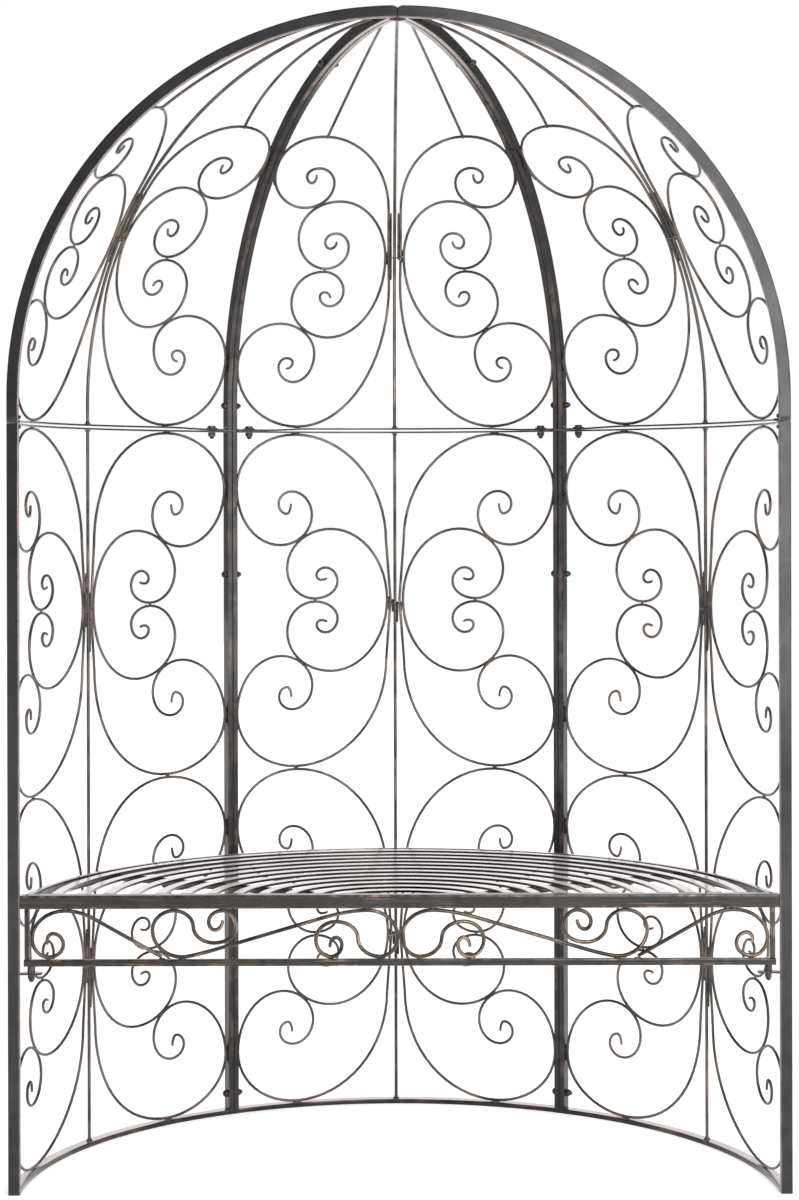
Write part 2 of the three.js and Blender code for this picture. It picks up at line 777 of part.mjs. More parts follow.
function apronPlace([side, rise]) {
  return [side * apronReach, apronLow + rise * apronRise];
}

// Straight slant with eased ends between two level runs, through the corners given
function slantPlaces(start, startCorner, endCorner, end) {
  const vector = ([side, rise]) => new THREE.Vector2(side, rise);
  const [a, b, c, d] = [start, startCorner, endCorner, end].map((share) => vector(apronPlace(share)));
  const leave = b.clone().lerp(c, slantEaseShare);
  const arrive = c.clone().lerp(b, slantEaseShare);
  const first = a.equals(b) ? [a] : new THREE.QuadraticBezierCurve(a, b, leave).getPoints(slantEaseSteps);
  const last = new THREE.QuadraticBezierCurve(arrive, c, d).getPoints(slantEaseSteps);
  return [...first, ...last].map(({ x, y }) => [x, y]);
}

// End scroll: a slant up from the rail that curls down against the end bar
function endScroll(name, side) {
  const [foot, corner, head] = endScrollSlantShares;
  const curl = scrollPlaces(endScrollShares.map(apronPlace), false);
  const places = [...slantPlaces(foot, foot, corner, head), ...curl.slice(1)];
  const flip = side < 0 ? mirrored : (list) => list;
  return named(name, rod(flip(places), apronSurface, apronRod), apronIron);
}

// Long scroll: an S curl, a slant and a second S curl that meets its mirror image in the middle
function longScroll(name, side) {
  const outerCurl = scrollPlaces(longOuterCurlShares.map(apronPlace), true);
  const innerCurl = scrollPlaces(longInnerCurlShares.map(apronPlace), false);
  const places = [...outerCurl, ...slantPlaces(...longSlantShares).slice(1), ...innerCurl.slice(1)];
  const flip = side < 0 ? mirrored : (list) => list;
  return named(name, rod(flip(places), apronSurface, apronRod), apronIron);
}

const tabTop = apronRailTop - apronRailSize - spacerHeight - 2 * fit;
const tabBoltSide = innerRadius - fit - tabBoltInset;

// Fixing tab on a front post, drilled for the apron's bolt
function apronTab(name, side) {
  const post = innerRadius - fit;
  const corners = [
    [post - tabLength, fit], [post, fit], [post, fit + tabWidth], [post - tabLength, fit + tabWidth],
  ];
  const shape = new THREE.Shape(corners.map(([x, y]) => new THREE.Vector2(side * x, y)));
  shape.holes = [new THREE.Path(hexagon(shankRadius + holeClearance, side * tabBoltSide, apronMiddle))];
  const mesh = named(name, new THREE.ExtrudeGeometry(shape, {
    depth: tabThickness, steps: 1, bevelEnabled: false,
  }), darkIron);
  mesh.position.z = tabTop - tabThickness;
  return mesh;
}

// Bolt that carries the apron's rail on its tab: hexagon spacer, shank and cap nut
function apronBolt(name, side) {
  const spacerBottom = tabTop + fit;
  const capTop = tabTop - tabThickness - fit;
  const capMiddle = capTop - capHeight / 2;
  const mesh = named(name, turned([
    { lower: capCrownRadius, upper: capRadius, from: capTop - capHeight, to: capMiddle },
    { lower: capRadius, upper: capRadius, from: capMiddle, to: capTop },
    { lower: shankRadius, upper: shankRadius, from: capMiddle, to: spacerBottom + spacerHeight / 2 },
    { lower: spacerRadius, upper: spacerRadius, from: spacerBottom, to: spacerBottom + spacerHeight },
  ]), boltIron);
  mesh.position.set(side * tabBoltSide, apronMiddle, 0);
  return mesh;
}

function seat() {
  const group = new THREE.Group();
  group.add(frontRail(), seatRim());
  for (let index = 0; index < slatCount; index += 1) {
    group.add(slat(index));
  }
  group.add(slatSupport("seat_support_left", -1), slatSupport("seat_support_right", 1));
  group.add(rearBracket("seat_bracket_left", Math.PI / 2 + rearBaySpan / 2));
  group.add(rearBracket("seat_bracket_right", Math.PI / 2 - rearBaySpan / 2));
  return group;
}

function apron() {
  const group = new THREE.Group();
  group.add(apronRail());
  [["left", -1], ["right", 1]].forEach(([place, side]) => {
    group.add(apronEndBar(`apron_end_bar_${place}`, side));
    group.add(endScroll(`apron_end_scroll_${place}`, side));
    group.add(longScroll(`apron_long_scroll_${place}`, side));
    group.add(apronTab(`apron_tab_${place}`, side));
    group.add(apronBolt(`apron_bolt_${place}`, side));
  });
  return group;
}

// The bays: an edge shared with a neighbour keeps half the seam, a front edge is flush
const shared = seam / 2;
const bays = [
  {
    name: "left",
    liftShare: sideGoreLiftShare,
    span: sideBaySpan,
    centre: Math.PI - sideBaySpan / 2,
    leftGap: 0,
    rightGap: shared,
    leftShared: false,
    rightShared: true,
  },
  {
    name: "rear",
    liftShare: rearGoreLiftShare,
    span: rearBaySpan,
    centre: Math.PI / 2,
    leftGap: shared,
    rightGap: shared,
    leftShared: true,
    rightShared: true,
  },
  {
    name: "right",
    liftShare: sideGoreLiftShare,
    span: sideBaySpan,
    centre: sideBaySpan / 2,
    leftGap: shared,
    rightGap: 0,
    leftShared: true,
    rightShared: false,
  },
];

const arbour = new THREE.Group();
arbour.position.y = -outerRadius / 2;
bays.forEach((bay) => arbour.add(bayGroup(bay)));
arbour.add(seat(), apron());

export default arbour;
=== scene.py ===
import math
import random
from functools import partial

import bmesh
import bpy
from mathutils import Matrix, Vector, noise


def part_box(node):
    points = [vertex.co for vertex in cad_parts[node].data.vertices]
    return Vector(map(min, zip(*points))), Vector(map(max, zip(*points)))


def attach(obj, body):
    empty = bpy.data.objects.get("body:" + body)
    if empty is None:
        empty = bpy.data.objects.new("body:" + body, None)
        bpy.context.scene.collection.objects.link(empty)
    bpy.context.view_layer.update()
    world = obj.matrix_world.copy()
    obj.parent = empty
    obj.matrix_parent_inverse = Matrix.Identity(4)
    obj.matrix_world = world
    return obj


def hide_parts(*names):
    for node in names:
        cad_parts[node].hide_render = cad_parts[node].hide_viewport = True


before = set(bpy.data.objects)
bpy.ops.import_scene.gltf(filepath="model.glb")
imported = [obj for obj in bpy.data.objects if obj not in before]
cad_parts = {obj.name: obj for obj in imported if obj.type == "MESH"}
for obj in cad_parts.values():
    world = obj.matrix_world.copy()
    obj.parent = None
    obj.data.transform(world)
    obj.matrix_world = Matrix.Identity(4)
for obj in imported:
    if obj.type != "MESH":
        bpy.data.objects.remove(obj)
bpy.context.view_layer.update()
random.seed(11)

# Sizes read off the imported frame, in metres. The front posts' outer faces lie in the plane y = frontY.
postLow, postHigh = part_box("right_wall_right_stile")
outerRadius = postHigh.x
barDepth = postHigh.x - postLow.x
barWidth = postHigh.y - postLow.y
frontY = postLow.y
wallHeight = postHigh.z
innerRadius = outerRadius - barDepth
rodRadius = (outerRadius + innerRadius) / 2
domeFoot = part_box("right_dome_right_rib")[0].z
domeCentre = round(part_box("right_dome_right_rib")[1].z - outerRadius, 4)
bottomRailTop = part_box("rear_wall_bottom_rail")[1].z
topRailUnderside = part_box("rear_wall_top_rail")[0].z
footRailLow, footRailTop = (corner.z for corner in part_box("rear_dome_foot_rail"))
axis = Vector((0, frontY, 0))
rightward, upward, toView = Vector((1, 0, 0)), Vector((0, 0, 1)), Vector((0, -1, 0))
fit = 0.0003  # clearance between neighbours
halfSeam = 0.0003  # half the gap between paired posts and ribs
print("frame loaded: arbour radius", round(outerRadius, 3), "wall height", round(wallHeight, 3))


# Camera, eye level just below the ring between wall and dome
view = {
    "distance": 4.102,  # from the front posts
    "aside": -0.05,  # a little left of the middle
    "height": 1.133,
    "lens": 76.08,
    "roll": 0.14,  # degrees
    "shiftX": 0.02633,
    "shiftY": -0.08792,
}
cameraData = bpy.data.cameras.new("frontView")
cameraData.lens = view["lens"]
cameraData.shift_x = view["shiftX"]
cameraData.shift_y = view["shiftY"]
camera = bpy.data.objects.new("frontView", cameraData)
camera.location = (view["aside"], frontY - view["distance"], view["height"])
camera.rotation_euler = (math.radians(90), math.radians(view["roll"]), 0)
bpy.context.scene.collection.objects.link(camera)
bpy.context.scene.camera = camera
bpy.context.scene.view_settings.view_transform = "Standard"
print("camera placed")


# Node helpers. Inputs take values or other nodes' sockets.
def fillInputs(tree, node, inputs):
    for key, value in dict(inputs).items():
        if isinstance(value, bpy.types.NodeSocket):
            tree.links.new(value, node.inputs[key])
        else:
            node.inputs[key].default_value = value


def addNode(tree, kind, inputs=(), **settings):
    node = tree.nodes.new(kind)
    for key, value in settings.items():
        setattr(node, key, value)
    fillInputs(tree, node, inputs)
    return node


def noiseOf(tree, vector, scale, detail=4.0, roughness=0.55):
    inputs = {"Vector": vector, "Scale": scale, "Detail": detail, "Roughness": roughness}
    return addNode(tree, "ShaderNodeTexNoise", inputs).outputs["Fac"]


def spread(tree, value, fromLow, fromHigh, toLow=0.0, toHigh=1.0, shape="SMOOTHSTEP"):
    inputs = enumerate((value, fromLow, fromHigh, toLow, toHigh))
    return addNode(tree, "ShaderNodeMapRange", inputs, clamp=True, interpolation_type=shape).outputs[0]


def combine(tree, operation, first, second):
    return addNode(tree, "ShaderNodeMath", {0: first, 1: second}, operation=operation).outputs[0]


def weighed(tree, *pairs):
    # Sum of values, each times its weight
    parts = [combine(tree, "MULTIPLY", value, weight) for value, weight in pairs]
    total = parts[0]
    for part in parts[1:]:
        total = combine(tree, "ADD", total, part)
    return total


def stretched(tree, vector, scale):
    return addNode(tree, "ShaderNodeMapping", {"Vector": vector, "Scale": scale}).outputs[0]


def blendColours(tree, factor, first, second):
    first, second = ((*colour, 1) if isinstance(colour, tuple) else colour for colour in (first, second))
    return addNode(tree, "ShaderNodeMix", {0: factor, 6: first, 7: second}, data_type="RGBA").outputs[2]


# Pale floor, white surround and soft studio light
studio = {
    "floorSize": 30,
    "floorTone": 0.86,
    "floorLift": (0.44, 0.64),  # near and far, only seen by the camera and in gloss
    "liftReach": (1.2, 4.5),
    "surround": 0.62,  # light of the white room on the object
    "mirrored": (0.2, 1.0),  # how bright gloss sees the room: camera's side and back
    "mirrorReach": (0.66, 0.95),
    "softboxes": [
        # name, place, aimed at, width, height, power
        ("rightBox", (1.4, -4.4, 2.1), (0.2, -0.2, 1.2), 2.3, 3.3, 122),
        ("sideBox", (3.3, -2.2, 1.6), (0, 0, 1.0), 1.2, 2.4, 30),
        ("leftBox", (-3.3, -2.2, 1.6), (0, 0, 1.0), 1.0, 2.2, 9),
        ("topBox", (0.2, -0.6, 4.2), (0, 0, 1.0), 2.6, 2.6, 26),
    ],
}


def cameraOrMirror(tree):
    path = addNode(tree, "ShaderNodeLightPath").outputs
    seen = combine(tree, "MAXIMUM", path["Is Camera Ray"], path["Is Glossy Ray"])
    return combine(tree, "MAXIMUM", seen, path["Is Transmission Ray"])


def buildSurround():
    world = bpy.data.worlds.new("whiteRoom")
    world.use_nodes = True
    tree = world.node_tree
    tree.nodes.clear()
    way = addNode(tree, "ShaderNodeTexCoord").outputs["Generated"]
    way = addNode(tree, "ShaderNodeSeparateXYZ", {0: way}).outputs["Y"]
    inGloss = spread(tree, way, *studio["mirrorReach"], *studio["mirrored"], "LINEAR")
    straight = addNode(tree, "ShaderNodeLightPath").outputs["Is Camera Ray"]
    plain, shown = (
        addNode(tree, "ShaderNodeBackground", {"Color": (1, 1, 1, 1), "Strength": strength}).outputs[0]
        for strength in (studio["surround"], combine(tree, "MAXIMUM", inGloss, straight))
    )
    mix = addNode(tree, "ShaderNodeMixShader", {0: cameraOrMirror(tree), 1: plain, 2: shown})
    addNode(tree, "ShaderNodeOutputWorld", {"Surface": mix.outputs[0]})
    bpy.context.scene.world = world


def buildFloor():
    mesh = bpy.data.meshes.new("studioFloor")
    bm = bmesh.new()
    bmesh.ops.create_grid(bm, x_segments=4, y_segments=4, size=studio["floorSize"] / 2)
    bm.to_mesh(mesh)
    bm.free()
    floor = bpy.data.objects.new("studioFloor", mesh)
    bpy.context.scene.collection.objects.link(floor)
    paint = bpy.data.materials.new("floorPaint")
    paint.use_nodes = True
    tree = paint.node_tree
    tree.nodes.clear()
    tone = studio["floorTone"]
    matte = addNode(tree, "ShaderNodeBsdfDiffuse", {"Color": (tone, tone, tone, 1)})
    place = addNode(tree, "ShaderNodeTexCoord").outputs["Object"]
    reach = addNode(tree, "ShaderNodeVectorMath", {0: place}, operation="LENGTH").outputs["Value"]
    rising = spread(tree, reach, *studio["liftReach"], *studio["floorLift"], "LINEAR")
    rising = combine(tree, "MULTIPLY", cameraOrMirror(tree), rising)
    lift = addNode(tree, "ShaderNodeEmission", {"Strength": rising})
    both = addNode(tree, "ShaderNodeAddShader", {0: matte.outputs[0], 1: lift.outputs[0]})
    addNode(tree, "ShaderNodeOutputMaterial", {"Surface": both.outputs[0]})
    mesh.materials.append(paint)


def buildLights():
    for name, place, aim, width, height, power in studio["softboxes"]:
        lamp = bpy.data.lights.new(name, "AREA")
        lamp.shape = "RECTANGLE"
        lamp.size = width
        lamp.size_y = height
        lamp.energy = power
        box = bpy.data.objects.new(name, lamp)
        box.location = place
        box.rotation_euler = (Vector(aim) - Vector(place)).to_track_quat("-Z", "Y").to_euler()
        bpy.context.scene.collection.objects.link(box)


buildSurround()
buildFloor()
buildLights()
print("studio lit")


# Iron finishes: dark paint rubbed with bronze in patches and along edges, under a thin satin lacquer.
# The pale colour used where the rub value is high is metal rubbed through on the front posts' worn inner edges,
# and a painted highlight on the tops of rails, rim and slats and on the ribs' undersides towards the apex.
commonLook = {
    "metallic": 0.5, "patch": 0.5, "edge": 0.5, "streak": 0.4, "breaks": 34, "detail": 3,
    "gloss": (0.34, 0.44), "grain": 0.03, "lacquer": 0.18, "lacquerIor": 1.32, "sheen": 0.15,
}
finishes = {
    "postIron": {
        "dark": (0.015, 0.016, 0.019), "light": (0.028, 0.028, 0.032), "rubbed": (0.21, 0.13, 0.10),
        "bare": (0.46, 0.385, 0.37), "patch": 0.55, "edge": 0.62, "streak": 0.14, "strokes": (9, 260),
        "lacquer": 0.14, "sheen": 0.3,
    },
    "ribIron": {
        "dark": (0.012, 0.011, 0.012), "light": (0.025, 0.022, 0.022), "rubbed": (0.26, 0.175, 0.14),
        "bare": (0.46, 0.385, 0.37), "strokes": (8, 460), "lacquer": 0.07, "sheen": 0.1,
    },
    "scrollIron": {
        "dark": (0.027, 0.025, 0.024), "light": (0.086, 0.076, 0.070), "rubbed": (0.35, 0.25, 0.20),
        "metallic": 0.4, "patch": 0.44, "edge": 0.55, "streak": 0.5, "strokes": (14, 110),
        "breaks": 24, "detail": 1.5,
    },
    "benchIron": {
        "dark": (0.013, 0.012, 0.011), "light": (0.026, 0.0235, 0.022), "rubbed": (0.34, 0.23, 0.16),
        "patch": 0.52, "edge": 0.8, "streak": 0.5, "strokes": (8, 420), "breaks": 60, "detail": 4,
        "grain": 0.06,
    },
    "slatIron": {
        "dark": (0.006, 0.005, 0.005), "light": (0.012, 0.010, 0.010), "rubbed": (0.22, 0.14, 0.115),
        "bare": (0.50, 0.445, 0.435), "metallic": 0.95, "edge": 0.4, "streak": 0.06, "strokes": (10, 240),
        "breaks": 30, "detail": 2, "gloss": (0.2, 0.26), "grain": 0.008, "lacquer": 0.12,
        "lacquerIor": 1.3, "sheen": 1.0,
    },
    "hoopIron": {
        "dark": (0.013, 0.011, 0.011), "light": (0.030, 0.025, 0.024), "rubbed": (0.32, 0.20, 0.165),
        "bare": (0.64, 0.555, 0.54), "metallic": 0.8, "patch": 0.48, "edge": 0.6, "streak": 0.25,
        "strokes": (8, 300), "breaks": 30, "gloss": (0.26, 0.34), "grain": 0.02, "lacquer": 0.08,
        "sheen": 0.12,
    },
    "apronIron": {
        "dark": (0.016, 0.014, 0.013), "light": (0.040, 0.032, 0.027), "rubbed": (0.44, 0.30, 0.205),
        "metallic": 0.55, "patch": 0.40, "edge": 0.25, "streak": 1.0, "strokes": (30, 520),
        "breaks": 40, "gloss": (0.3, 0.42), "grain": 0.06,
    },
    "boltIron": {
        "dark": (0.014, 0.014, 0.015), "light": (0.034, 0.032, 0.032), "rubbed": (0.18, 0.135, 0.11),
        "streak": 0.3, "strokes": (60, 400), "breaks": 70, "gloss": (0.32, 0.46), "grain": 0.08,
    },
    "weldIron": {
        "dark": (0.012, 0.011, 0.011), "light": (0.030, 0.027, 0.026), "rubbed": (0.66, 0.48, 0.42),
        "metallic": 0.55, "patch": 0.44, "edge": 1.0, "streak": 0.1, "strokes": (80, 500),
        "breaks": 90, "gloss": (0.28, 0.45), "grain": 0.25,
    },
}
texture = {
    "patches": (9, 40, 1),  # scale along the bar, around it and from bar to bar
    "clouds": 9.0,
    "pores": 620.0,
    "patchFade": 0.15,
    "toneFade": (0.42, 0.6),
    "edgeFade": (0.38, 0.6),
    "strokeFade": (0.5, 0.68),
    "glossFade": (0.4, 0.62),
    "steadyWear": 0.22,  # what is left of the wear between the patches
    "bareFrom": (1.3, 2.7),  # rub values where the pale colour of rubbed-through metal and painted highlight begins and is reached
    "reliefDepth": 0.0006,
    "specular": 0.3,
    "sheenTint": (1.0, 0.93, 0.93, 1),
}


def makeFinish(name, look):
    finish = bpy.data.materials.new(name)
    finish.use_nodes = True
    tree = finish.node_tree
    times, larger = (partial(combine, tree, operation) for operation in ("MULTIPLY", "MAXIMUM"))
    place = addNode(tree, "ShaderNodeTexCoord").outputs["Object"]
    rub = addNode(tree, "ShaderNodeAttribute", attribute_name="rub").outputs["Fac"]
    grain = addNode(tree, "ShaderNodeAttribute", attribute_name="grain").outputs["Vector"]
    patches = noiseOf(tree, stretched(tree, grain, texture["patches"]), 1.0, 3.0)
    strokes = noiseOf(tree, stretched(tree, grain, (*look["strokes"], 1)), 1.0, look["detail"], 0.6)
    clouds = noiseOf(tree, place, texture["clouds"], 3.0)
    breaks = noiseOf(tree, place, look["breaks"], look["detail"])
    pores = noiseOf(tree, place, texture["pores"], 2.0)
    tone = weighed(tree, (clouds, 0.65), (breaks, 0.35))
    paint = blendColours(tree, spread(tree, tone, *texture["toneFade"]), look["dark"], look["light"])
    patch = spread(tree, patches, look["patch"], look["patch"] + texture["patchFade"])
    edges = times(times(rub, look["edge"]), spread(tree, breaks, *texture["edgeFade"]))
    brushed = times(spread(tree, strokes, *texture["strokeFade"]), look["streak"])
    steady = times(larger(rub, 1.0), texture["steadyWear"])
    worn = times(larger(edges, brushed), larger(patch, steady))
    colour = blendColours(tree, worn, paint, look["rubbed"])
    # Pale colour where the rub value is high: painted highlight on tops and rib undersides, rubbed-through metal
    # on worn inner edges
    if "bare" in look:
        colour = blendColours(tree, spread(tree, rub, *texture["bareFrom"]), colour, look["bare"])
    low, high = look["gloss"]
    relief = weighed(tree, (strokes, 0.5), (pores, 0.4), (breaks, 0.6))
    relief = {"Strength": look["grain"], "Distance": texture["reliefDepth"], "Height": relief}
    fillInputs(tree, tree.nodes["Principled BSDF"], {
        "Base Color": colour, "Roughness": spread(tree, tone, *texture["glossFade"], high, low),
        "Normal": addNode(tree, "ShaderNodeBump", relief).outputs[0],
        "Metallic": look["metallic"], "Specular IOR Level": texture["specular"], "Coat Weight": 1.0,
        "Coat IOR": look["lacquerIor"], "Coat Roughness": look["lacquer"],
        "Sheen Weight": look["sheen"], "Sheen Roughness": 0.3, "Sheen Tint": texture["sheenTint"],
    })
    return finish


paints = {name: makeFinish(name, {**commonLook, **look}) for name, look in finishes.items()}
print("finishes mixed:", ", ".join(paints))


# Mesh helpers. Every vertex carries how rubbed it is, where high rub values also stand for a painted highlight,
# and where it lies along its bar.
forged = {
    "rodRipple": (43, 0.035),  # how fine and how deep rods are uneven
    "barRipple": 31,
    "tipSize": 0.84,  # thinned ends of rods
    "tipReach": 0.014,
    "rodEnd": (0.72, 0.0007),  # size of a cut end's face, and how far in the full size begins
    "barEnd": (0.93, 0.0006),
    "weldRipple": 1.7,
    "weldSpeckle": 260,
    "sharpFrom": math.radians(38),
    "edgeFade": 0.0017,  # over which an edge's wear ends on the flats
    "seamRub": 0.1,
    "outwardRub": 0.3,  # more on the side that is turned outwards
    "hair": 0.0001,
}


def startMesh():
    bm = bmesh.new()
    bm.verts.layers.float.new("rub")
    bm.verts.layers.float_vector.new("grain")
    return bm


def unevenness(point, shift=Vector()):
    return 0.5 + 0.5 * noise.noise(point + shift)


def skin(bm, rings, wear):
    # Closed skin over rings of points; wear is one list for all rings, or a list for each
    rubLayer = bm.verts.layers.float["rub"]
    grainLayer = bm.verts.layers.float_vector["grain"]
    count = len(rings[0])
    start = random.uniform(0, 30)
    gaps = [(rings[0][(i + 1) % count] - rings[0][i]).length for i in range(count)]
    around = [sum(gaps[:i]) for i in range(count)]
    along = 0.0
    previous = None
    for index, ring in enumerate(rings):
        worn = wear[index] if isinstance(wear[0], list) else wear
        if index:
            along += (ring[0] - rings[index - 1][0]).length
        verts = []
        for place, point in enumerate(ring):
            vert = bm.verts.new(point)
            vert[rubLayer] = worn[place]
            vert[grainLayer] = (start + along, around[place], start)
            verts.append(vert)
        if previous:
            for i in range(count):
                j = (i + 1) % count
                bm.faces.new((previous[i], previous[j], verts[j], verts[i]))
        else:
            bm.faces.new(list(reversed(verts)))
        previous = verts
    bm.faces.new(previous)


def framesAlong(spots):
    # Each spot is a point and the surface's normal there; adds the way along and the way across
    frames = []
    last = len(spots) - 1
    for index, (point, normal) in enumerate(spots):
        way = (spots[min(index + 1, last)][0] - spots[max(index - 1, 0)][0]).normalized()
        out = (normal - way * normal.dot(way)).normalized()
        frames.append((point, way, way.cross(out), out))
    return frames


def evenly(steps):
    return [step / steps for step in range(steps + 1)]


def circle(sides):
    return [(math.cos(a), math.sin(a)) for a in (2 * math.pi * k / sides for k in range(sides))]


def endRings(point, way, spokes, look, first):
    # Smaller face of a cut end and the full ring a little inside it
    small, ease = look
    inward = way * (ease if first else -ease)
    ends = [[point + spoke * small for spoke in spokes[1]], [point + inward + spoke for spoke in spokes[0]]]
    return ends if first else ends[::-1]


def roundRod(bm, spots, radius, sides=10, thinEnds=(False, False), wobble=forged["rodRipple"][1], rub=0.5):
    frames = framesAlong(spots)
    lengths = [0.0]
    for before, after in zip(frames, frames[1:]):
        lengths.append(lengths[-1] + (after[0] - before[0]).length)
    rings = []
    last = len(frames) - 1
    tip = forged["tipSize"]
    for index, (point, way, across, out) in enumerate(frames):
        size = radius * (1 - wobble * unevenness(point * forged["rodRipple"][0]))
        for near, thin in zip((lengths[index], lengths[-1] - lengths[index]), thinEnds):
            if thin:
                size *= tip + (1 - tip) * min(1.0, near / forged["tipReach"])
        ring = [(across * c + out * s) * size for c, s in circle(sides)]
        if index in (0, last):
            rings += endRings(point, way, (ring, ring), forged["rodEnd"], index == 0)
        else:
            rings.append([point + spoke for spoke in ring])
    skin(bm, rings, [rub + forged["outwardRub"] * abs(s) for _, s in circle(sides)])


def roundedSection(width, depth, corner, fade=forged["edgeFade"], steps=2):
    # Outline of a bar with its wear: 1 on the rounded edges, 0 on the flats beside them
    section, wear = [], []
    fadeAcross = min(fade, (width / 2 - corner) * 0.7)
    fadeOut = min(fade, (depth / 2 - corner) * 0.7)
    for signX, signY, start in ((1, 1, 0), (-1, 1, 90), (-1, -1, 180), (1, -1, 270)):
        centre = Vector((signX * (width / 2 - corner), signY * (depth / 2 - corner)))
        angles = [math.radians(start + 90 * share) for share in evenly(steps)]
        arc = [centre + Vector((math.cos(angle), math.sin(angle))) * corner for angle in angles]
        back = [Vector((0, signY * fadeOut)), Vector((signX * fadeAcross, 0))]
        if start in (90, 270):
            back.reverse()
        section += [tuple(spot) for spot in (arc[0] - back[0], *arc, arc[-1] - back[1])]
        wear += [0.0] + [1.0] * len(arc) + [0.0]
    return section, wear


def flatBar(
    bm, spots, width, depth, corner, shrinkage=0.012, rub=1.0, outerRub=None,
    seamSide=0, faceRub=None, topHighlightRub=0.0, fade=forged["edgeFade"],
):
    # A bar with rounded edges: width runs across the surface, depth along its normal. The edge by a seam stays
    # dark, faceRub gives the wear of the inner face at each spot, on the ribs towards the apex also a painted
    # highlight, and the top's own rub value paints a highlight on a rail's top.
    section, wear = roundedSection(width, depth, corner, fade)
    if outerRub is not None:
        wear = [value * (outerRub / rub if v > 0 else 1) for value, (u, v) in zip(wear, section)]
    hair, seamRub = forged["hair"], forged["seamRub"]
    wear = [value * rub * (seamRub if u * seamSide > 0 else 1) for value, (u, v) in zip(wear, section)]
    inner = [value == 0 and v < hair - depth / 2 for value, (u, v) in zip(wear, section)]
    # A rail's top gets a rub value high enough for the painted highlight colour
    wear = [topHighlightRub if value == 0 and u > width / 2 - hair else value for value, (u, v) in zip(wear, section)]
    rings, wears = [], []
    frames = framesAlong(spots)
    last = len(frames) - 1
    for index, (point, way, across, out) in enumerate(frames):
        shrink = 1 - shrinkage * unevenness(point * forged["barRipple"])
        outline = [across * u + out * v for u, v in section]
        ring = [spoke * shrink for spoke in outline]
        worn = [faceRub[index] if flat else value for value, flat in zip(wear, inner)] if faceRub else wear
        wears.append(worn)
        if index in (0, last):
            rings += endRings(point, way, (ring, outline), forged["barEnd"], index == 0)
            wears.append(worn)
        else:
            rings.append([point + spoke for spoke in ring])
    skin(bm, rings, wears)


def bead(bm, centre, along, out, length, width, height, rub=0.7, rough=0.22):
    # Irregular lump of weld metal
    rubLayer = bm.verts.layers.float["rub"]
    grainLayer = bm.verts.layers.float_vector["grain"]
    way = along.normalized()
    rise = (out - way * out.dot(way)).normalized()
    side = way.cross(rise)
    shift = Vector((random.uniform(0, 9), random.uniform(0, 9), 0))
    for vert in bmesh.ops.create_icosphere(bm, subdivisions=2, radius=1.0)["verts"]:
        place = vert.co * (1 - rough * unevenness(vert.co * forged["weldRipple"], shift))
        vert.co = centre + (way * place.x * length + side * place.y * width + rise * place.z * height) / 2
        vert[rubLayer] = rub * unevenness(vert.co * forged["weldSpeckle"])
        vert[grainLayer] = vert.co


def turned(bm, centre, axisWay, profile, sides=24, rub=0.4):
    # Turned or hexagonal length: each level is (along, radius), or (along, radius, half flat width)
    way = axisWay.normalized()
    side = way.orthogonal().normalized()
    other = way.cross(side)
    rings = []
    for along, radius, *flat in profile:
        ring = []
        for k, (c, s) in enumerate(circle(sides)):
            size = radius
            if flat:
                off = (2 * math.pi * k / sides + math.pi / 6) % (math.pi / 3) - math.pi / 6
                size = min(radius, flat[0] / math.cos(off))
            ring.append(centre + way * along + (side * c + other * s) * size)
        rings.append(ring)
    skin(bm, rings, [rub + forged["outwardRub"] * (k % 4 == 2) for k in range(sides)])


def finishPiece(name, bm, paint, nodes=()):
    mesh = bpy.data.meshes.new(name)
    bmesh.ops.recalc_face_normals(bm, faces=bm.faces)
    bm.to_mesh(mesh)
    bm.free()
    mesh.materials.append(paints[paint])
    mesh.shade_smooth()
    mesh.set_sharp_from_angle(angle=forged["sharpFrom"])
    piece = bpy.data.objects.new(name, mesh)
    bpy.context.scene.collection.objects.link(piece)
    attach(piece, "root")
    if nodes:
        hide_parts(*nodes)


def spacedOut(places, gap=0.012):
    # Extra places on long straight runs, so that they follow the curved wall
    out = [places[0]]
    for before, after in zip(places, places[1:]):
        steps = max(1, math.ceil(math.dist(before, after) / gap))
        for share in evenly(steps)[1:]:
            out.append(tuple(b + (a - b) * share for a, b in zip(after, before)))
    return out


def mirrored(places):
    return [(-side, rise) for side, rise in places]


def overturned(places):
    return [(side, -rise) for side, rise in places]


def eased(share):
    share = min(1.0, max(0.0, share))
    return share * share * (3 - 2 * share)


# The three bays, seen from inside: span and middle about the axis, gaps beside their edges, and how far
# their gore's scrolls are lifted, as a share of the rib's arc
rearSpan = math.radians(57.8)
sideSpan = (math.pi - rearSpan) / 2
bays = [
    {"name": name, "span": span, "centre": centre, "leftGap": leftGap, "rightGap": rightGap, "lift": lift}
    for name, span, centre, leftGap, rightGap, lift in (
        ("left", sideSpan, math.pi - sideSpan / 2, 0.0, halfSeam, 0.019),
        ("rear", rearSpan, math.pi / 2, halfSeam, halfSeam, 0.0105),
        ("right", sideSpan, sideSpan / 2, halfSeam, 0.0, 0.019),
    )
]
for bay in bays:
    bay["turn"] = Matrix.Rotation(bay["centre"] - math.pi / 2, 3, "Z")


def wallSpot(bay, side, rise, middle=0.0):
    angle = side / rodRadius
    normal = Vector((math.sin(angle), math.cos(angle), 0))
    return bay["turn"] @ (normal * rodRadius + upward * (rise + middle)) + axis, bay["turn"] @ normal


def domeSpot(bay, side, rise):
    # Rise runs up the rib from the level of the sphere's centre; below it the foot stands upright
    elevation = max(rise, 0) / rodRadius
    level = math.cos(elevation)
    angle = side / (rodRadius * level)
    normal = Vector((math.sin(angle) * level, math.cos(angle) * level, math.sin(elevation)))
    point = normal * rodRadius + upward * (domeCentre + min(rise, 0))
    return bay["turn"] @ point + axis, bay["turn"] @ normal


